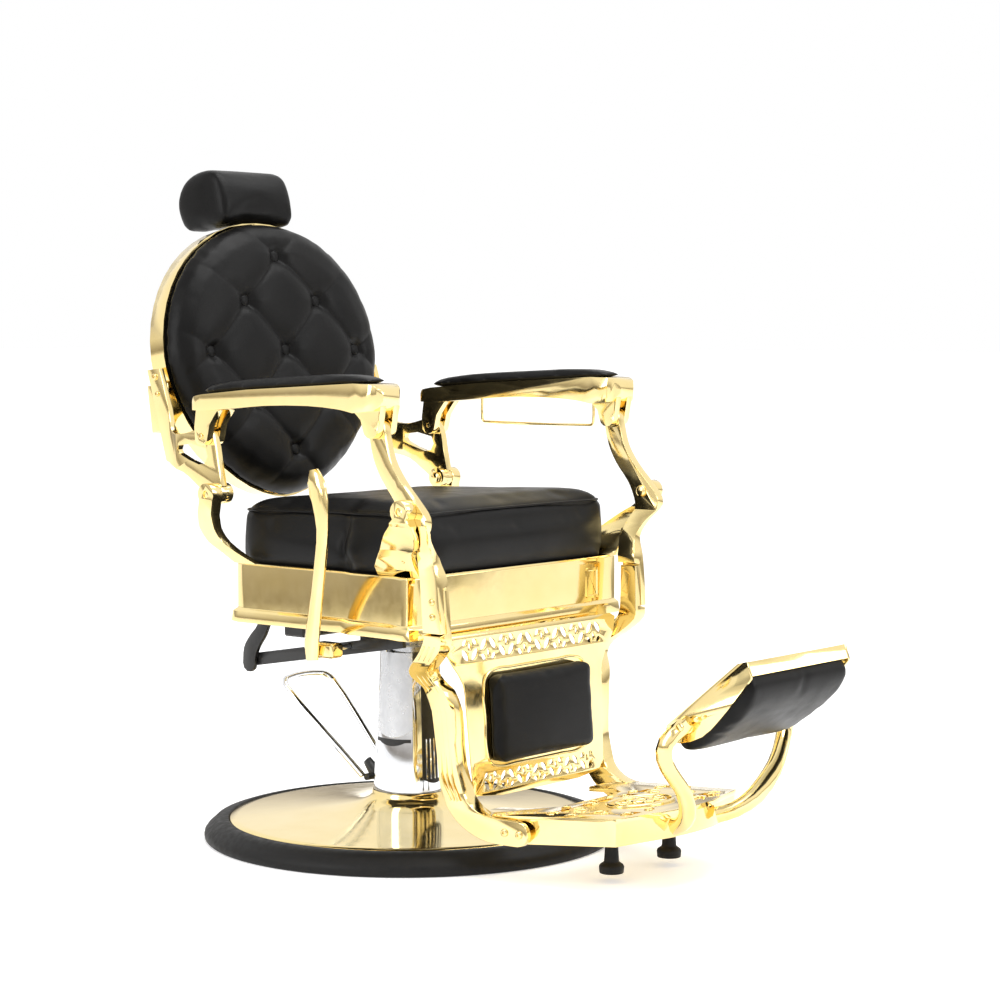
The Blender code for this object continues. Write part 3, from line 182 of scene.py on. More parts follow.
floor_bm = bmesh.new()
bmesh.ops.create_grid(floor_bm, x_segments=1, y_segments=1, size=60)
floor_finish, floor_tree, floor_shader = new_material("studio_floor", (0.90, 0.90, 0.90), 0.0, 0.9)
floor_shader.inputs["Emission Color"].default_value = (1, 1, 1, 1)
floor_shader.inputs["Emission Strength"].default_value = 0.36
vary(floor_tree, surface_noise(floor_tree, 0.6).outputs["Fac"], 0.86, 0.92, floor_shader.inputs["Roughness"])
floor = link_piece("studio_floor", floor_bm, None, floor_finish)


# ---------------------------------------------------------------- base
# A heavy steel plate under a spun, gold-plated cover, with a moulded rubber ring pressed round
# its rim, so that the chair stands without marking the floor.

BASE_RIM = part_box("base_ring")[1][0]
RING_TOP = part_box("base_ring")[1][2]
COVER_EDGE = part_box("base_cover")[1][0]
COVER_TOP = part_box("base_cover")[1][2]
NECK_R = 0.064


def tint(tree, source, dark, light, socket, start=0.3, end=0.7):
    ramp = tree.nodes.new("ShaderNodeValToRGB")
    ramp.color_ramp.elements[0].position, ramp.color_ramp.elements[0].color = start, (*dark, 1)
    ramp.color_ramp.elements[1].position, ramp.color_ramp.elements[1].color = end, (*light, 1)
    tree.links.new(source, ramp.inputs["Fac"])
    tree.links.new(ramp.outputs["Color"], socket)


def bump(tree, shader, source, depth, strength=1.0):
    node = tree.nodes.new("ShaderNodeBump")
    node.inputs["Strength"].default_value = strength
    node.inputs["Distance"].default_value = depth
    tree.links.new(source, node.inputs["Height"])
    tree.links.new(node.outputs["Normal"], shader.inputs["Normal"])


gold, tree, shader = new_material("gold_plating", (0.96, 0.78, 0.36), 1.0, 0.11)
cast = surface_noise(tree, 14, 4)
tint(tree, cast.outputs["Fac"], (0.94, 0.745, 0.33), (0.98, 0.80, 0.40), shader.inputs["Base Color"])
wear = surface_noise(tree, 55, 5)
vary(tree, wear.outputs["Fac"], 0.07, 0.12, shader.inputs["Roughness"])
bump(tree, shader, surface_noise(tree, 22, 1).outputs["Fac"], 0.0016, 0.10)

rubber, tree, shader = new_material("base_rubber", (0.006, 0.006, 0.006), 0.0, 0.50)
scuff = surface_noise(tree, 90, 6)
tint(tree, scuff.outputs["Fac"], (0.004, 0.004, 0.004), (0.010, 0.0095, 0.009), shader.inputs["Base Color"])
vary(tree, scuff.outputs["Fac"], 0.42, 0.62, shader.inputs["Roughness"])
bump(tree, shader, surface_noise(tree, 900, 2).outputs["Fac"], 0.0003, 0.4)
shader.inputs["Specular IOR Level"].default_value = 0.25


def lathe(profile, steps):
    """A turned shape from (radius, height) points."""
    bm = bmesh.new()
    verts = [bm.verts.new((r, 0, z)) for r, z in profile]
    edges = [bm.edges.new(pair) for pair in zip(verts, verts[1:])]
    bmesh.ops.spin(bm, geom=verts + edges, cent=(0, 0, 0), axis=(0, 0, 1), angle=2 * math.pi, steps=steps,
                   use_merge=True, use_duplicate=False)
    bmesh.ops.remove_doubles(bm, verts=bm.verts, dist=0.00002)
    bmesh.ops.recalc_face_normals(bm, faces=bm.faces)
    return bm


ring = lathe([(COVER_EDGE - 0.010, 0.009), (COVER_EDGE - 0.010, 0.0015), (BASE_RIM - 0.004, 0.0005),
              (BASE_RIM - 0.001, 0.003), (BASE_RIM, 0.009), (BASE_RIM - 0.001, 0.014),
              (BASE_RIM - 0.005, 0.0195), (BASE_RIM - 0.009, 0.0230), (BASE_RIM - 0.012, 0.0255),
              (BASE_RIM - 0.018, 0.0312), (BASE_RIM - 0.028, 0.0345), (COVER_EDGE + 0.004, RING_TOP),
              (COVER_EDGE + 0.0012, RING_TOP - 0.001), (COVER_EDGE + 0.0006, 0.026),
              (COVER_EDGE + 0.0006, 0.009), (COVER_EDGE - 0.010, 0.009)], 128)
ring = link_piece("rubber_base_ring", ring, "base", rubber)
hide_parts("base_ring")

cover = lathe([(NECK_R - 0.003, COVER_TOP - 0.002), (NECK_R - 0.002, COVER_TOP), (NECK_R, COVER_TOP - 0.001),
               (NECK_R + 0.001, COVER_TOP - 0.006), (NECK_R + 0.005, COVER_TOP - 0.012),
               (NECK_R + 0.012, 0.0635), (NECK_R + 0.022, 0.0595), (NECK_R + 0.040, 0.0560),
               (COVER_EDGE * 0.45, 0.0512), (COVER_EDGE * 0.60, 0.0464), (COVER_EDGE * 0.72, 0.0428),
               (COVER_EDGE * 0.86, 0.0392), (COVER_EDGE * 0.95, 0.0368),
               (COVER_EDGE - 0.002, RING_TOP - 0.0005), (COVER_EDGE, RING_TOP - 0.003), (COVER_EDGE, 0.010),
               (COVER_EDGE - 0.003, 0.010), (COVER_EDGE - 0.004, RING_TOP - 0.006), (COVER_EDGE * 0.72, 0.0395),
               (COVER_EDGE * 0.45, 0.0475), (NECK_R + 0.012, 0.0600), (NECK_R - 0.003, 0.070),
               (NECK_R - 0.003, COVER_TOP - 0.002)], 128)
cover = link_piece("gold_base_cover", cover, "base", gold)
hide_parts("base_cover")

# black enamel for the steel parts; the same material also colours the painted shadow strip under the sleeve's
# side plate
black_steel_and_painted_shadow, tree, shader = new_material("black_enamel_and_painted_shadow", (0.008, 0.008, 0.008), 0.0, 0.34)
grit = surface_noise(tree, 160, 5)
tint(tree, grit.outputs["Fac"], (0.006, 0.006, 0.006), (0.014, 0.0135, 0.013), shader.inputs["Base Color"])
vary(tree, grit.outputs["Fac"], 0.28, 0.44, shader.inputs["Roughness"])
bump(tree, shader, surface_noise(tree, 700, 2).outputs["Fac"], 0.0002, 0.3)

bare_steel, tree, shader = new_material("ground_steel", (0.45, 0.45, 0.46), 1.0, 0.3)
ground = surface_noise(tree, 220, 5)
tint(tree, ground.outputs["Fac"], (0.38, 0.38, 0.39), (0.52, 0.52, 0.53), shader.inputs["Base Color"])
vary(tree, ground.outputs["Fac"], 0.22, 0.38, shader.inputs["Roughness"])


def refinish(node, material):
    """Gives a CAD node that keeps its shape its own finish."""
    obj = frame["nodes"][node]
    if obj.material_slots:
        for held in obj.material_slots:
            held.material = material
    else:
        obj.data.materials.append(material)


refinish("base_plate", black_steel_and_painted_shadow)
refinish("pump_socket", bare_steel)


# ---------------------------------------------------------------- pump
# A ground steel cylinder in a tapered chrome sleeve. The sleeve has a pale plate on one side
# and a dark recess with five bars in front, and the seat's ram comes out of its top.

SLEEVE_LOW, SLEEVE_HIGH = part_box("pump_shroud")
SLEEVE_R = SLEEVE_HIGH[0]
SLEEVE_TOP = SLEEVE_HIGH[2]
SLEEVE_FOOT = SLEEVE_LOW[2]
SLEEVE_TOP_R = 0.050

chrome, tree, shader = new_material("chrome_plating", (0.82, 0.83, 0.85), 1.0, 0.05)
haze = surface_noise(tree, 40, 4)
tint(tree, haze.outputs["Fac"], (0.76, 0.77, 0.79), (0.88, 0.89, 0.90), shader.inputs["Base Color"])
vary(tree, haze.outputs["Fac"], 0.03, 0.09, shader.inputs["Roughness"])


def rounded(obj, width=0.0015, segments=2, angle=30):
    """Eases a piece's hard edges."""
    ease = obj.modifiers.new("eased_edges", "BEVEL")
    ease.width = width
    ease.segments = segments
    ease.limit_method = "ANGLE"
    ease.angle_limit = math.radians(angle)
    ease.harden_normals = True
    return obj


def cast_copy(node, name, body, material, width=0.0015, segments=2, angle=32, flat=1.0):
    """The CAD node with its triangles joined and its edges eased, which stands for the node."""
    bm = bmesh.new()
    bm.from_mesh(frame["nodes"][node].data)
    bmesh.ops.remove_doubles(bm, verts=bm.verts, dist=0.00002)
    bmesh.ops.dissolve_limit(bm, angle_limit=math.radians(flat), verts=bm.verts, edges=bm.edges)
    bmesh.ops.recalc_face_normals(bm, faces=bm.faces)
    obj = link_piece(name, bm, body, material)
    if width:
        rounded(obj, width, segments, angle)
    else:
        obj.data.set_sharp_from_angle(angle=math.radians(angle))
    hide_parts(node)
    return obj


cast_copy("pump_shroud", "chrome_pump_sleeve", "pump", chrome, 0, angle=35)
refinish("pump_cylinder", bare_steel)
refinish("piston_rod", bare_steel)


def on_sleeve(angle, z, out=0.0):
    share = (z - SLEEVE_FOOT) / (SLEEVE_TOP - SLEEVE_FOOT)
    radius = SLEEVE_R + (SLEEVE_TOP_R - SLEEVE_R) * share + out
    return (radius * math.sin(angle), -radius * math.cos(angle), z)


plate_finish, tree, shader = new_material("sleeve_plate_grey", (0.62, 0.63, 0.65), 0.7, 0.22)
mark = surface_noise(tree, 60, 3)
vary(tree, mark.outputs["Fac"], 0.16, 0.30, shader.inputs["Roughness"])
tint(tree, mark.outputs["Fac"], (0.56, 0.57, 0.59), (0.68, 0.69, 0.71), shader.inputs["Base Color"])


def sleeve_patch(name, around, half, low, high, out, material, drop=0.0):
    """A curved plate laid on the sleeve; drop rounds its lower end."""
    bm = bmesh.new()
    bmesh.ops.create_grid(bm, x_segments=12, y_segments=16, size=1)
    for vert in bm.verts:
        x, y = vert.co.x, vert.co.y
        z = low + (high - low) * (y + 1) / 2
        z += drop * x * x * max(0, -y)
        vert.co = on_sleeve(around + half * x, z, out)
    bmesh.ops.recalc_face_normals(bm, faces=bm.faces)
    centre = on_sleeve(around, (low + high) / 2, 0)
    bm.faces.ensure_lookup_table()
    if bm.faces[0].normal.dot(Vector((centre[0], centre[1], 0))) < 0:
        bmesh.ops.reverse_faces(bm, faces=bm.faces)
    obj = link_piece(name, bm, "pump", material)
    wall = obj.modifiers.new("thickness", "SOLIDIFY")
    wall.thickness = 0.0012
    wall.offset = -1
    rounded(obj, 0.0005, 2, 50)
    return obj


sleeve_patch("sleeve_side_plate", -1.42, 0.66, 0.174, 0.318, 0.0009, plate_finish, 0.014)
# painted shadow: a black strip along the side plate's curved lower edge stands for the shade under the plate's
# lip; it is not a part
sleeve_patch("sleeve_plate_painted_shadow", -1.42, 0.60, 0.160, 0.172, 0.0006, black_steel_and_painted_shadow, 0.012)
sleeve_patch("sleeve_front_recess", -0.10, 0.40, 0.096, 0.262, 0.0007, black_steel_and_painted_shadow, 0.010)
for index in range(5):
    sleeve_patch(f"sleeve_recess_bar_{index + 1}", -0.36 + 0.13 * index, 0.020, 0.104, 0.172, 0.0014, chrome)


# ---------------------------------------------------------------- foot pedal
# One bent chrome rod on the pump's cross shaft, which pumps the chair up and lets it down.

cast_copy("pedal_loop", "chrome_foot_pedal", "pedal", chrome, 0, angle=50)
cast_copy("pump_lever", "pump_shaft_lever", "pedal", black_steel_and_painted_shadow, 0.0008)


# ---------------------------------------------------------------- seat underframe
# Black enamelled channels and a pressed pan on the ram's flange, with a flat bar and a
# hanger at each side for the recline lock.

for node in ("seat_frame", "seat_pan", "headrest_sleeve"):
    refinish(node, black_steel_and_painted_shadow)
for side in ("l", "r"):
    cast_copy(f"under_bar_{side}", f"lock_bar_{side}", "chair", black_steel_and_painted_shadow, 0.0015)
    cast_copy(f"bar_hanger_{side}", f"lock_hanger_{side}", "chair", black_steel_and_painted_shadow, 0.0012)


# ---------------------------------------------------------------- seat skirt
# One gold casting round the seat: a plain polished wall with a stepped lip at its foot, and
# framed panels let into its two front corners.

SKIRT_LOW, SKIRT_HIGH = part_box("seat_skirt")
cast_copy("seat_skirt", "gold_seat_skirt", "chair", gold, 0.0022, 3, 25)


def wall_panel(name, centre, across, up, size, depth, body, material):
    """A raised frame round a sunk field, as cast on a flat wall; across and up lie in the wall."""
    across, up = Vector(across).normalized(), Vector(up).normalized()
    out = across.cross(up)
    bm = bmesh.new()
    bmesh.ops.create_grid(bm, x_segments=1, y_segments=1, size=1)
    bm.faces.ensure_lookup_table()
    for vert in bm.verts:
        vert.co = Vector((vert.co.x * size[0] / 2, vert.co.y * size[1] / 2, 0))
    bmesh.ops.bevel(bm, geom=list(bm.verts), offset=min(size) * 0.14, affect="VERTICES", segments=5,
                    profile=0.5, material=-1)
    field = bmesh.ops.extrude_face_region(bm, geom=list(bm.faces))
    lifted = [g for g in field["geom"] if isinstance(g, bmesh.types.BMVert)]
    bmesh.ops.translate(bm, verts=lifted, vec=(0, 0, depth))
    top = [g for g in field["geom"] if isinstance(g, bmesh.types.BMFace)]
    rim = min(size) * 0.13
    bmesh.ops.inset_region(bm, faces=top, thickness=rim, depth=0)
    bmesh.ops.inset_region(bm, faces=top, thickness=rim * 0.35, depth=-depth * 0.8)
    bmesh.ops.recalc_face_normals(bm, faces=bm.faces)
    turn = Matrix((across, up, out)).transposed().to_4x4()
    turn.translation = Vector(centre)
    bmesh.ops.transform(bm, matrix=turn, verts=bm.verts)
    obj = link_piece(name, bm, body, material)
    rounded(obj, 0.0007, 2, 30)
    return obj


skirt_front = SKIRT_LOW[1] + 0.0080
panel_z = (SKIRT_HIGH[2] + SKIRT_LOW[2]) / 2 + 0.006
for sign in (-1, 1):
    tag = "l" if sign > 0 else "r"
    wall_panel(f"skirt_corner_panel_{tag}", (sign * 0.200, skirt_front + 0.0003, panel_z), (1, 0, 0), (0, 0, 1),
               (0.034, 0.052), 0.0022, "chair", gold)


# ---------------------------------------------------------------- seat cushion
# A deep box cushion of black leather-cloth over foam, held in the skirt, with a corded seam
# round its top edge. The filling swells its sides and crowns its top.

leather, tree, shader = new_material("black_leather", (0.004, 0.004, 0.004), 0.0, 0.40)
patch = surface_noise(tree, 9, 4)
tint(tree, patch.outputs["Fac"], (0.0025, 0.0025, 0.0026), (0.0055, 0.0052, 0.0050),
     shader.inputs["Base Color"])
vary(tree, surface_noise(tree, 26, 5).outputs["Fac"], 0.30, 0.42, shader.inputs["Roughness"])
pebble = surface_noise(tree, 620, 3, "ShaderNodeTexVoronoi")
bump(tree, shader, pebble.outputs["Distance"], 0.00035, 0.45)
shader.inputs["Specular IOR Level"].default_value = 0.15


def bake(obj):
    """Fixes a piece's modifiers into its mesh."""
    graph = bpy.context.evaluated_depsgraph_get()
    mesh = bpy.data.meshes.new_from_object(obj.evaluated_get(graph))
    obj.modifiers.clear()
    obj.data = mesh


def relax(obj, times):
    """Evens out a piece's mesh."""
    bm = bmesh.new()
    bm.from_mesh(obj.data)
    for _ in range(times):
        bmesh.ops.smooth_vert(bm, verts=bm.verts, factor=0.5, use_axis_x=True, use_axis_y=True,
                              use_axis_z=True)
    bm.to_mesh(obj.data)
    bm.free()


CLOTH_FRAMES = 20


def filled_cushion(node, name, body, shrink, cap, voxel=0.005, pressure=4.0, hold=None):
    """A cushion blown up inside its cover: a smaller copy of the CAD solid, swelled as cloth, and capped."""
    low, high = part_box(node)
    centre = (Vector(low) + Vector(high)) / 2
    bm = bmesh.new()
    bm.from_mesh(frame["nodes"][node].data)
    bmesh.ops.remove_doubles(bm, verts=bm.verts, dist=0.00005)
    bmesh.ops.recalc_face_normals(bm, faces=bm.faces)
    size = Vector(high) - Vector(low)
    factor = [max(0.2, 1 - 2 * shrink / s) for s in size]
    bmesh.ops.scale(bm, vec=factor, verts=bm.verts, space=Matrix.Translation(-centre))
    obj = link_piece(name, bm, body, leather)
    grid = obj.modifiers.new("even_mesh", "REMESH")
    grid.mode = "VOXEL"
    grid.voxel_size = voxel
    grid.use_smooth_shade = True
    bake(obj)
    start = [vert.co.copy() for vert in obj.data.vertices]
    cloth = obj.modifiers.new("cover", "CLOTH")
    cloth.settings.quality = 4
    cloth.settings.use_pressure = True
    cloth.settings.uniform_pressure_force = pressure
    cloth.settings.effector_weights.gravity = 0
    cloth.settings.tension_stiffness = 12
    cloth.settings.bending_stiffness = 1.5
    cloth.collision_settings.use_collision = False
    scene = bpy.context.scene
    for step in range(1, CLOTH_FRAMES + 1):
        scene.frame_set(step)
    bake(obj)
    scene.frame_set(1)
    for vert, was in zip(obj.data.vertices, start):
        move = vert.co - was
        limit = cap * (hold(was) if hold else 1)
        if move.length > limit:
            vert.co = was + move.normalized() * limit
    relax(obj, 6)
    for face in obj.data.polygons:
        face.use_smooth = True
    return obj


def finish_cushion(obj, node):
    fine = obj.modifiers.new("fine", "SUBSURF")
    fine.levels = fine.render_levels = 1
    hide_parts(node)


SEAT_LOW, SEAT_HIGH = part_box("seat_cushion")
SEAM_Z = SEAT_HIGH[2] - 0.017
SEAM_FALL = 0.024
SEAM_PULL = 0.0022


def seam_height(y):
    """The seam runs a little lower toward the back."""
    return SEAM_Z - SEAM_FALL * (y - SEAT_LOW[1])


def held_low(place):
    """The cushion can't swell where the skirt holds it."""
    return max(0.15, min(1.0, (place.z - SKIRT_HIGH[2]) / 0.05 + 0.2))


seat = filled_cushion("seat_cushion", "seat_cushion_cover", "chair", 0.0015, 0.0065, 0.0050, hold=held_low)
for vert in seat.data.vertices:
    # the corded seam draws the cover in along the top edge
    pull = SEAM_PULL * math.exp(-((vert.co.z - seam_height(vert.co.y)) / 0.006) ** 2)
    vert.co.x -= math.copysign(pull, vert.co.x) if abs(vert.co.x) > 0.20 else 0
    vert.co.y += pull if vert.co.y < SEAT_LOW[1] + 0.04 else 0
finish_cushion(seat, "seat_cushion")

def tube(name, points, radius, body, material, closed=False):
    """A round bar along a smooth path."""
    curve = bpy.data.curves.new(name, "CURVE")
    curve.dimensions = "3D"
    curve.bevel_depth = radius
    curve.bevel_resolution = 4
    curve.resolution_u = 10
    curve.use_fill_caps = True
    spline = curve.splines.new("BEZIER")
    spline.bezier_points.add(len(points) - 1)
    for knot, place in zip(spline.bezier_points, points):
        knot.co = place
        knot.handle_left_type = knot.handle_right_type = "AUTO"
    spline.use_cyclic_u = closed
    obj = bpy.data.objects.new(name, curve)
    bpy.context.collection.objects.link(obj)
    curve.materials.append(material)
    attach(obj, body)
    return obj


seam = []
spokes = 56
middle = Vector((0, (SEAT_LOW[1] + SEAT_HIGH[1]) / 2, 0))
at_seam = [vert.co - middle for vert in seat.data.vertices if abs(vert.co.z - seam_height(vert.co.y)) < 0.004]
for spoke in range(spokes):
    # the cord lies on the cover wherever a ray from the middle leaves it
    angle = 2 * math.pi * (spoke + 0.5) / spokes
    ray = Vector((math.cos(angle), math.sin(angle)))
    near = [offset.xy.length for offset in at_seam
            if (offset.xy.normalized() - ray).length < 0.05 and offset.xy.length > 0.12]
    if not near:
        continue
    reach = sorted(near)[-max(1, len(near) // 6)]
    x, y = middle.x + ray.x * reach, middle.y + ray.y * reach
    seam.append((x, y, seam_height(y) + 0.0006))
tube("seat_cushion_piping", seam, 0.0019, "chair", leather, closed=True)


# ---------------------------------------------------------------- brackets and arm posts
# Gold side castings: flared brackets bolted to the skirt, rear stands, and the arm posts, which
# lap over the leg rails and are screwed to them.

def body_of(node):
    return frame["nodes"][node]["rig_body"]


for side in ("l", "r"):
    cast_copy(f"front_bracket_{side}", f"gold_front_bracket_{side}", "chair", gold, 0.0018, 3)
    cast_copy(f"rear_stand_{side}", f"gold_rear_stand_{side}", "chair", gold, 0.0018, 3)
    cast_copy(f"arm_post_{side}", f"gold_arm_post_{side}", "leg_frame", gold, 0.0018, 3)
    cast_copy(f"leg_rail_{side}", f"gold_leg_rail_{side}", "leg_frame", gold, 0.0020, 3)
    for end in ("front", "rear"):
        bolt = f"{end}_pivot_bolt_{side}"
        cast_copy(bolt, f"{end}_pivot_screw_{side}", body_of(bolt), gold, 0.0006)

steel_screw, tree, shader = new_material("plated_screw_steel", (0.80, 0.64, 0.32), 1.0, 0.16)
turned_marks = surface_noise(tree, 300, 3)
vary(tree, turned_marks.outputs["Fac"], 0.10, 0.24, shader.inputs["Roughness"])
tint(tree, turned_marks.outputs["Fac"], (0.72, 0.56, 0.26), (0.86, 0.70, 0.36), shader.inputs["Base Color"])


def screw_head(name, place, out, radius, body, material=None, height=0.003, socket=True):
    """A pan-head screw with a round socket, its head standing along out."""
    bm = lathe([(radius, -0.001), (radius, height * 0.45), (radius * 0.86, height * 0.85),
                (radius * 0.60, height), (radius * 0.42, height)], 24)
    rim = [e for e in bm.edges if e.is_boundary and all(v.co.z > height * 0.9 for v in e.verts)]
    sunk = bmesh.ops.extrude_edge_only(bm, edges=rim)
    low = [g for g in sunk["geom"] if isinstance(g, bmesh.types.BMVert)]
    bmesh.ops.translate(bm, verts=low, vec=(0, 0, -height * (0.7 if socket else 0.05)))
    bmesh.ops.holes_fill(bm, edges=[e for e in bm.edges if e.is_boundary], sides=0)
    bmesh.ops.recalc_face_normals(bm, faces=bm.faces)
    turn = Vector(out).normalized().to_track_quat("Z", "X").to_matrix().to_4x4()
    turn.translation = Vector(place)
    bmesh.ops.transform(bm, matrix=turn, verts=bm.verts)
    obj = link_piece(name, bm, body, material or steel_screw)
    obj.data.set_sharp_from_angle(angle=math.radians(40))
    return obj


POST_FACE = 0.2685
BRACKET_FACE = 0.2755
PLATE_LUG_FACE = 0.2000
RIB_SINK = 0.0012
RIB_RUN = ((0.2040, -0.272, 0.120), (0.2020, -0.256, 0.150), (0.2018, -0.253, 0.185), (0.2040, -0.250, 0.230),
           (0.2070, -0.248, 0.262), (0.2170, -0.240, 0.295), (0.2290, -0.233, 0.312), (0.2410, -0.233, 0.328),
           (0.2550, -0.252, 0.345), (0.2670, -0.276, 0.371))
for sign in (-1, 1):
    tag = "l" if sign > 0 else "r"
    out = (sign, 0, 0)
    for index, (y, z) in enumerate(((-0.283, 0.441), (-0.284, 0.418))):
        screw_head(f"post_lap_screw_{tag}{index + 1}", (sign * POST_FACE, y, z), out, 0.0055, "leg_frame")
    for index, (y, z) in enumerate(((-0.3720, 0.0815), (-0.4010, 0.0815))):
        screw_head(f"plate_lap_screw_{tag}{index + 1}", (sign * PLATE_LUG_FACE, y, z), out, 0.0065, "leg_frame")
    for index, (y, z) in enumerate(((-0.232, 0.499), (-0.246, 0.513))):
        screw_head(f"bracket_screw_{tag}{index + 1}", (sign * BRACKET_FACE, y, z + 0.004), out, 0.0040, "chair")
    # three ribs run down the rail's outer face
    for index, shift in enumerate((-0.0115, 0.0, 0.0115)):
        # and draw a little together at its foot
        points = [(sign * (x - RIB_SINK), y + shift * (0.9 if knot > 0 else 0.6), z)
                  for knot, (x, y, z) in enumerate(RIB_RUN)]
        tube(f"rail_rib_{tag}{index + 1}", points, 0.0018, "leg_frame", gold)


# ---------------------------------------------------------------- leg panel
# A gold panel between the rails, pierced with leaves above and below a leather pad with a gold
# bead round it.

PANEL_TOP_Y, PANEL_FOOT_Y = -0.268, -0.286
PANEL_TOP_Z, PANEL_FOOT_Z = 0.381, 0.118
PANEL_THICK = 0.0030


def panel_face(z):
    return PANEL_FOOT_Y + (PANEL_TOP_Y - PANEL_FOOT_Y) * (z - PANEL_FOOT_Z) / (PANEL_TOP_Z - PANEL_FOOT_Z)


def leaf(x, z, length, width, turn):
    """A pointed leaf outline about (x, z)."""
    points = []
    for k in range(14):
        angle = 2 * math.pi * k / 14 + 0.11
        along = math.cos(angle) * length / 2
        across = math.sin(angle) * width / 2 * (1 - 0.45 * math.cos(angle) ** 4)
        points.append((x + along * math.cos(turn) - across * math.sin(turn),
                       z + along * math.sin(turn) + across * math.cos(turn)))
    return points


def pierced_sheet(outline, openings, thick, soften):
    """A flat sheet with openings, as a mesh in x and z with its thickness in y."""
    curve = bpy.data.curves.new("sheet_outline", "CURVE")
    curve.dimensions = "2D"
    curve.fill_mode = "BOTH"
    curve.extrude = thick / 2 - soften
    curve.bevel_depth = soften
    curve.bevel_resolution = 1
    for loop in [outline] + openings:
        spline = curve.splines.new("POLY")
        spline.points.add(len(loop) - 1)
        spline.use_cyclic_u = True
        for knot, (x, z) in zip(spline.points, loop):
            knot.co = (x, z, 0, 1)
    carrier = bpy.data.objects.new("sheet_outline", curve)
    bpy.context.collection.objects.link(carrier)
    graph = bpy.context.evaluated_depsgraph_get()
    mesh = bpy.data.meshes.new_from_object(carrier.evaluated_get(graph))
    bpy.data.objects.remove(carrier)
    bm = bmesh.new()
    bm.from_mesh(mesh)
    bmesh.ops.remove_doubles(bm, verts=bm.verts, dist=0.00001)
    bmesh.ops.recalc_face_normals(bm, faces=bm.faces)
    return bm


def leaf_rows(span, cells, z, height, thin):
    """A running pattern: two leaves in a V, a bud between them, and a small eye between the cells."""
    openings = []
    pitch = 2 * span / cells
    for cell in range(cells):
        x = -span + pitch * (cell + 0.5)
        flip = 1 if cell % 2 else -1
        for side in (-1, 1):
            openings.append(leaf(x + side * pitch * 0.25, z + flip * height * 0.16, height * 0.56, thin,
                                 math.pi / 2 + side * flip * 0.72))
            openings.append(leaf(x + side * pitch * 0.27, z - flip * height * 0.30, height * 0.34, thin * 0.78,
                                 math.pi / 2 - side * flip * 0.95))
        openings.append(leaf(x, z - flip * height * 0.16, height * 0.30, thin * 0.60, math.pi / 2 + 0.04))
    return openings


half = [(0.209, 0.3805), (0.222, 0.3745), (0.2165, 0.352), (0.203, 0.333), (0.190, 0.318), (0.1800, 0.302),
        (0.1770, 0.288), (0.1763, 0.270), (0.172, 0.180), (0.168, 0.124), (0.10, 0.1165)]
outline = half + [(-x, z + 0.0001) for x, z in reversed(half)]
openings = leaf_rows(0.184, 8, 0.3540, 0.044, 0.0125) + leaf_rows(0.146, 7, 0.1415, 0.036, 0.0105)
sheet = pierced_sheet(outline, openings, PANEL_THICK, 0.0006)
for vert in sheet.verts:
    x, z, depth = vert.co
    vert.co = (x, panel_face(z) + PANEL_THICK / 2 + depth, z)
bmesh.ops.recalc_face_normals(sheet, faces=sheet.faces)
panel = link_piece("gold_leaf_panel", sheet, "leg_frame", gold)
panel.data.set_sharp_from_angle(angle=math.radians(40))
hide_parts("leg_panel")

pad = filled_cushion("leg_pad", "leg_pad_cover", "leg_frame", 0.0012, 0.004, 0.0036)
PAD_LOW, PAD_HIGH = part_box("leg_pad")
pad_middle = (PAD_LOW[2] + PAD_HIGH[2]) / 2
PAD_SQUARENESS = 7
PAD_REACH = 0.96
for vert in pad.data.vertices:
    # the cover's corners are cut round; the board behind it is flat, and its face is crowned
    across = abs(vert.co.x) / (PAD_HIGH[0] + 0.001)
    up = abs(vert.co.z - pad_middle) / ((PAD_HIGH[2] - PAD_LOW[2]) / 2)
    reach = (across ** PAD_SQUARENESS + up ** PAD_SQUARENESS) ** (1 / PAD_SQUARENESS)
    if reach > PAD_REACH:
        vert.co.x *= PAD_REACH / reach
        vert.co.z = pad_middle + (vert.co.z - pad_middle) * PAD_REACH / reach
    back = panel_face(vert.co.z) - 0.0005
    crown = 0.004 * max(0, 1 - across ** 2) * max(0, 1 - up ** 2)
    vert.co.y = min(vert.co.y - (crown if vert.co.y < back - 0.010 else 0), back)
finish_cushion(pad, "leg_pad")

BEAD_MIDDLE_Z = 0.241
bead_corner = [(0.133, BEAD_MIDDLE_Z), (0.133, 0.292), (0.124, 0.311), (0.104, 0.3185), (0.06, 0.3190)]
bead = bead_corner + [(-x, z) for x, z in reversed(bead_corner)]
bead += [(-x, 2 * BEAD_MIDDLE_Z - z) for x, z in bead_corner[1:]]
bead += [(x, 2 * BEAD_MIDDLE_Z - z) for x, z in reversed(bead_corner[1:])]
bead_run = [(x, panel_face(z) - 0.0008, z) for x, z in bead]
tube("leg_pad_bead", bead_run, 0.0020, "leg_frame", gold, closed=True)


# ---------------------------------------------------------------- footplate
# A cast gold plate with a raised oval medallion and scrolled relief on its tread, and two
# rubber feet under it.

cast_copy("footplate", "gold_footplate", "leg_frame", gold, 0.0018, 2)
for side in ("l", "r"):
    cast_copy(f"rubber_foot_{side}", f"rubber_foot_{side}_cup", "leg_frame", rubber, 0.0008)

TREAD_REAR, TREAD_Z, TREAD_RISE = -0.336, 0.103, math.radians(4.4)


def tread(x, y, up=0.0):
    return (x, y, TREAD_Z + (TREAD_REAR - y) * math.tan(TREAD_RISE) + up)


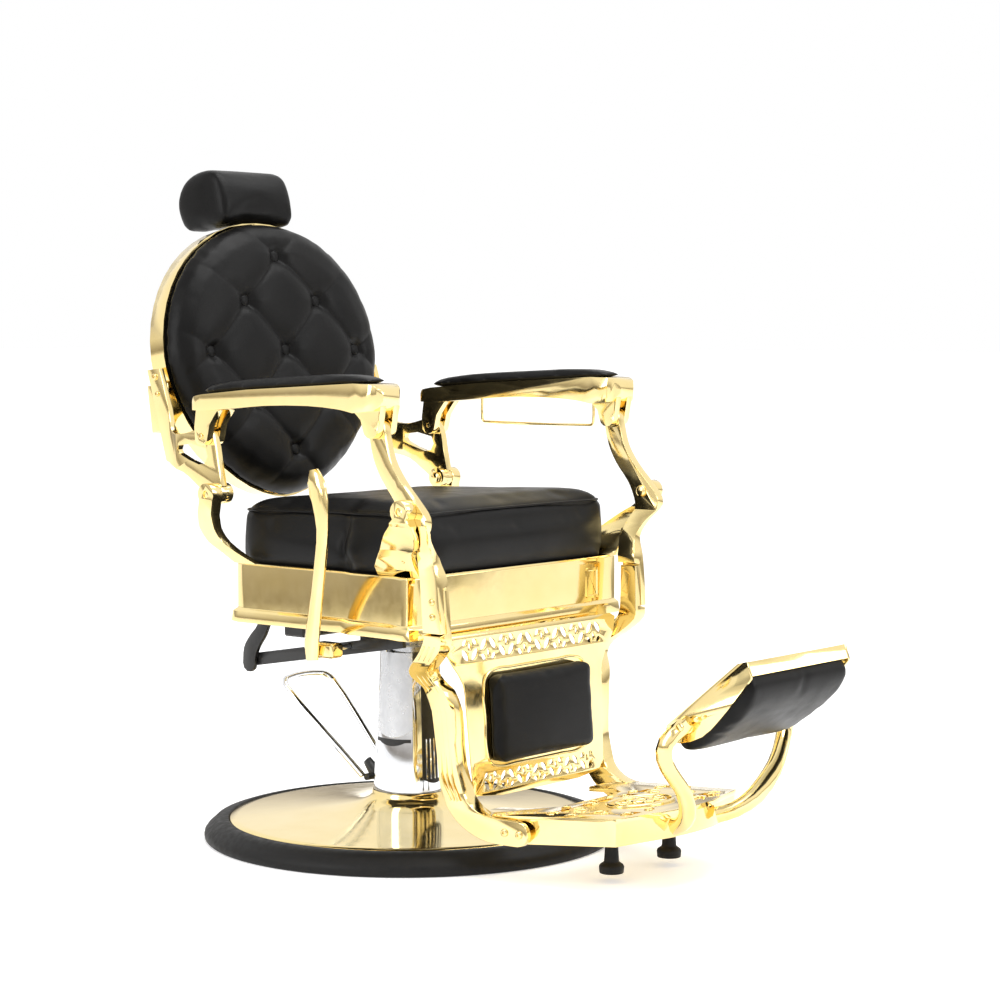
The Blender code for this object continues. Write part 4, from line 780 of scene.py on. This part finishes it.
MEDALLION_Y = -0.487
PETALS = 10
MEDALLION_RINGS = ((0.062, 0.046, 0.0032), (0.050, 0.035, 0.0020), (0.016, 0.011, 0.0030))
for index, (rx, ry, radius) in enumerate(MEDALLION_RINGS):
    angles = [2 * math.pi * k / 16 for k in range(16)]
    oval = [tread(rx * math.cos(a), MEDALLION_Y + ry * math.sin(a), 0.0006) for a in angles]
    tube(f"tread_medallion_{index + 1}", oval, radius, "leg_frame", gold, closed=True)
for index in range(PETALS):
    angle = 2 * math.pi * index / PETALS + 0.3
    c, s = math.cos(angle), math.sin(angle)
    petal = [tread(0.017 * c, MEDALLION_Y + 0.012 * s, 0.0004),
             tread(0.032 * c - 0.006 * s, MEDALLION_Y + 0.022 * s + 0.005 * c, 0.0006),
             tread(0.049 * c, MEDALLION_Y + 0.034 * s, 0.0004)]
    tube(f"tread_petal_{index + 1}", petal, 0.0017, "leg_frame", gold)
# where each scroll of a half stands, its size, and which way it starts
SCROLLS = ((0.100, -0.445, 0.020, 0.5), (0.140, -0.425, 0.017, -0.6), (0.118, -0.500, 0.021, 1.2),
           (0.112, -0.548, 0.016, -0.3), (0.046, -0.428, 0.016, 0.9), (0.152, -0.470, 0.014, 0.2),
           (0.060, -0.552, 0.014, -0.8), (0.020, -0.412, 0.010, 0.2), (0.086, -0.408, 0.011, -0.2))
count = 0
for sign in (-1, 1):
    for x, y, size, turn in SCROLLS:
        count += 1
        scroll = []
        for k in range(9):
            a = turn + k * 0.62
            r = size * (1 - k * 0.095)
            scroll.append(tread(sign * (x + r * math.cos(a)), y + r * 0.9 * math.sin(a), 0.0004))
        tube(f"tread_scroll_{count}", scroll, 0.0015, "leg_frame", gold)


# ---------------------------------------------------------------- footrest
# Two lyre-shaped gold arms carry a sheet-metal tray that flips over; a fat leather pad bulges
# from its open side, and a shoulder bolt with a washer pins it at each cheek.

for side in ("l", "r"):
    cast_copy(f"rest_arm_{side}", f"gold_rest_arm_{side}", "leg_frame", gold, 0, angle=50)
    cast_copy(f"footrest_bolt_{side}", f"footrest_screw_{side}", "footrest", gold, 0.0006)
cast_copy("footrest_frame", "gold_footrest_tray", "footrest", gold, 0.0012, 3)

REST_Y, REST_Z = -0.672, 0.272
REST_LEAN = math.radians(39.2)
REST_UP = Vector((0, -math.cos(REST_LEAN), math.sin(REST_LEAN)))
REST_OUT = Vector((0, -math.sin(REST_LEAN), -math.cos(REST_LEAN)))


def on_rest(x, up, out):
    return Vector((x, REST_Y, REST_Z)) + REST_UP * up + REST_OUT * out


def rest_pad_hold(place):
    """The tray's walls hold the pad's edges; its face is free to swell."""
    offset = place - Vector((0, REST_Y, REST_Z))
    out = offset.dot(REST_OUT)
    return max(0.08, min(1.0, (out + 0.004) / 0.03))


CHEEK_FACE = 0.1372
rest_pad = filled_cushion("footrest_pad", "footrest_pad_cover", "footrest", 0.0008, 0.004, 0.0042,
                          hold=rest_pad_hold)
finish_cushion(rest_pad, "footrest_pad")
for sign in (-1, 1):
    tag = "l" if sign > 0 else "r"
    out = (sign, 0, 0)
    screw_head(f"cheek_washer_{tag}", (sign * (CHEEK_FACE + 0.0002), REST_Y, REST_Z), out, 0.0120, "footrest",
               gold, 0.0016, False)
    screw_head(f"cheek_latch_{tag}", on_rest(sign * CHEEK_FACE, 0.024, 0.004), out, 0.0048, "footrest",
               gold, 0.0075, False)
    screw_head(f"cheek_latch_cap_{tag}", on_rest(sign * CHEEK_FACE, 0.035, 0.007), out, 0.0035, "footrest",
               gold, 0.005, False)


# ---------------------------------------------------------------- armrests
# Gold arms, a little higher in front, each with a long crowned pad on top. A thin rail under the
# sitter's left arm holds a towel.

ARM_BED_FRONT = 0.7782
ARM_BED_DROP = 0.0254

for side in ("l", "r"):
    sign = 1 if side == "l" else -1
    body = "armrest_left" if side == "l" else "armrest_right"
    cast_copy(f"armrest_{side}", f"gold_armrest_{side}", body, gold, 0.0022, 3)
    cast_copy(f"arm_rear_pin_{side}", f"arm_rear_screw_{side}", body_of(f"arm_rear_pin_{side}"),
              steel_screw, 0.0005)
    low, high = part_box(f"arm_pad_{side}")
    arm_pad = filled_cushion(f"arm_pad_{side}", f"arm_pad_{side}_cover", body, 0.0018, 0.0032, 0.0035)
    for vert in arm_pad.data.vertices:
        # the pad's board lies flat on the arm
        share = (vert.co.y - low[1]) / (high[1] - low[1])
        bed = ARM_BED_FRONT - ARM_BED_DROP * share ** 1.35 + 0.0004
        vert.co.z = max(vert.co.z, bed)
    finish_cushion(arm_pad, f"arm_pad_{side}")
    screw_head(f"arm_front_screw_{side}", (sign * 0.3165, -0.206, 0.709), (sign, 0, 0), 0.0058, body)
    screw_head(f"arm_rear_cap_{side}", (sign * 0.3045, 0.188, 0.686), (sign, 0, 0), 0.0052, body)
cast_copy("towel_bar", "gold_towel_bar", body_of("towel_bar"), gold, 0, angle=50)


# ---------------------------------------------------------------- back shell
# A pressed gold shell, round in front view, held by a channel folded round behind it and by
# two webbed brackets with their straps screwed to its side.

cast_copy("back_shell", "gold_back_shell", "back", gold, 0, angle=48, flat=0.1)
cast_copy("back_channel", "back_channel_folded", "back", gold, 0.0015)
refinish("back_board", rubber)
for side in ("l", "r"):
    cast_copy(f"back_bracket_{side}", f"gold_back_bracket_{side}", "back", gold, 0.0018, 3)

LEAN = math.radians(8.13)
BACK_UP = Vector((0, math.sin(LEAN), math.cos(LEAN)))
BACK_REAR = Vector((0, math.cos(LEAN), -math.sin(LEAN)))
BACK_MIDDLE = Vector((0, 0.328, 0.815))


def on_back(x, up, rear):
    return BACK_MIDDLE + Vector((x, 0, 0)) + BACK_UP * up + BACK_REAR * rear


STRAP_FACE = 0.2722
for sign in (-1, 1):
    tag = "l" if sign > 0 else "r"
    screw_head(f"strap_screw_{tag}1", (sign * STRAP_FACE, 0.333, 0.781), (sign, 0, 0), 0.0058, "back")
    screw_head(f"strap_screw_{tag}2", (sign * STRAP_FACE, 0.327, 0.752), (sign, 0, 0), 0.0042, "back")


# ---------------------------------------------------------------- back cushion
# A deep-tufted leather cushion: nine covered buttons pull it down in diamonds, with a fold
# running from each button to the next, and out to the rim.

# buttons as (across, up) from the back's middle, folds between them, and folds out to the rim
BUTTONS = ((0, 0.170), (-0.089, 0.091), (0.089, 0.091), (-0.180, 0.003), (0, 0.004), (0.180, 0.003),
           (-0.090, -0.085), (0.090, -0.085), (0, -0.172))
FOLDS = ((0, 1), (0, 2), (1, 3), (1, 4), (2, 4), (2, 5), (3, 6), (4, 6), (4, 7), (5, 7), (6, 8), (7, 8))
RIM_FOLDS = ((0, -0.075, 0.225), (0, 0.075, 0.225), (1, -0.190, 0.165), (2, 0.190, 0.165),
             (3, -0.252, 0.050), (3, -0.252, -0.050), (5, 0.252, 0.050), (5, 0.252, -0.050),
             (6, -0.180, -0.170), (7, 0.180, -0.170), (8, -0.070, -0.236), (8, 0.070, -0.236))


def fold_distance(x, up, a, b):
    """How far a point is from the fold from a to b, and how far along the fold it is."""
    run = (b[0] - a[0], b[1] - a[1])
    share = ((x - a[0]) * run[0] + (up - a[1]) * run[1]) / (run[0] ** 2 + run[1] ** 2)
    share = max(0, min(1, share))
    return math.hypot(x - a[0] - run[0] * share, up - a[1] - run[1] * share), share


def tuft_depth(x, up):
    """How far the cover is pulled in at a point of the back."""
    depth = 0.0
    for a, b in FOLDS:
        gap = fold_distance(x, up, BUTTONS[a], BUTTONS[b])[0]
        crease = 0.0046 * math.exp(-gap / 0.0055) + 0.0036 * math.exp(-(gap / 0.022) ** 2)
        depth = max(depth, crease)
    for a, rx, ru in RIM_FOLDS:
        gap, share = fold_distance(x, up, BUTTONS[a], (rx, ru))
        crease = 0.0036 * math.exp(-gap / 0.005) + 0.0026 * math.exp(-(gap / 0.020) ** 2)
        depth = max(depth, crease * (1 - share) ** 0.7)
    for bx, bu in BUTTONS:
        gap = math.hypot(x - bx, up - bu)
        depth += 0.0110 * math.exp(-(gap / 0.015) ** 2) + 0.0035 * math.exp(-(gap / 0.034) ** 2)
    return depth


def back_hold(place):
    """The shell holds the cushion's rear; its face is free to swell."""
    rear = (place - BACK_MIDDLE).dot(BACK_REAR)
    return 1.0 if rear < -0.012 else 0.12


tufted = filled_cushion("back_cushion", "back_cushion_cover", "back", 0.0012, 0.0065, 0.0040, pressure=3.0,
                        hold=back_hold)
relax(tufted, 2)
surface = []
for vert in tufted.data.vertices:
    offset = vert.co - BACK_MIDDLE
    x, up, rear = offset.x, offset.dot(BACK_UP), offset.dot(BACK_REAR)
    facing = max(0.0, min(1.0, (-rear - 0.012) / 0.014))
    sunk = tuft_depth(x, up) * facing
    vert.co += BACK_REAR * sunk
    surface.append((x, up, rear + sunk))
finish_cushion(tufted, "back_cushion")

for index, (bx, bu) in enumerate(BUTTONS):
    near = [rear for x, up, rear in surface if math.hypot(x - bx, up - bu) < 0.008 and rear < -0.004]
    bed = sum(near) / len(near) if near else -0.030
    bm = bmesh.new()
    bmesh.ops.create_uvsphere(bm, u_segments=28, v_segments=14, radius=0.0118)
    bmesh.ops.scale(bm, vec=(1, 1, 0.46), verts=bm.verts)
    turn = (-BACK_REAR).to_track_quat("Z", "Y").to_matrix().to_4x4()
    turn.translation = on_back(bx, bu, bed - 0.0010)
    bmesh.ops.transform(bm, matrix=turn, verts=bm.verts)
    button = link_piece(f"covered_button_{index + 1}", bm, "back", leather)


# ---------------------------------------------------------------- headrest
# A leather bolster on a flat chromed post, which slides in a sleeve behind the back shell.

cast_copy("headrest_post", "chrome_headrest_post", "headrest", chrome, 0.0006)
bolster = filled_cushion("headrest_cushion", "headrest_cover", "headrest", 0.0006, 0.0050, 0.0042)
finish_cushion(bolster, "headrest_cushion")


# ---------------------------------------------------------------- recline lever
# A cast gold hand lever, curved and widened at its grip, clamped to the chromed release rod that
# runs across under the seat.

cast_copy("recline_lever", "gold_recline_lever", "recline_handle", gold, 0, angle=50)
cast_copy("lever_clamp", "gold_lever_clamp", "recline_handle", gold, 0.0010)
cast_copy("release_rod", "chrome_release_rod", "recline_handle", chrome, 0.0004)
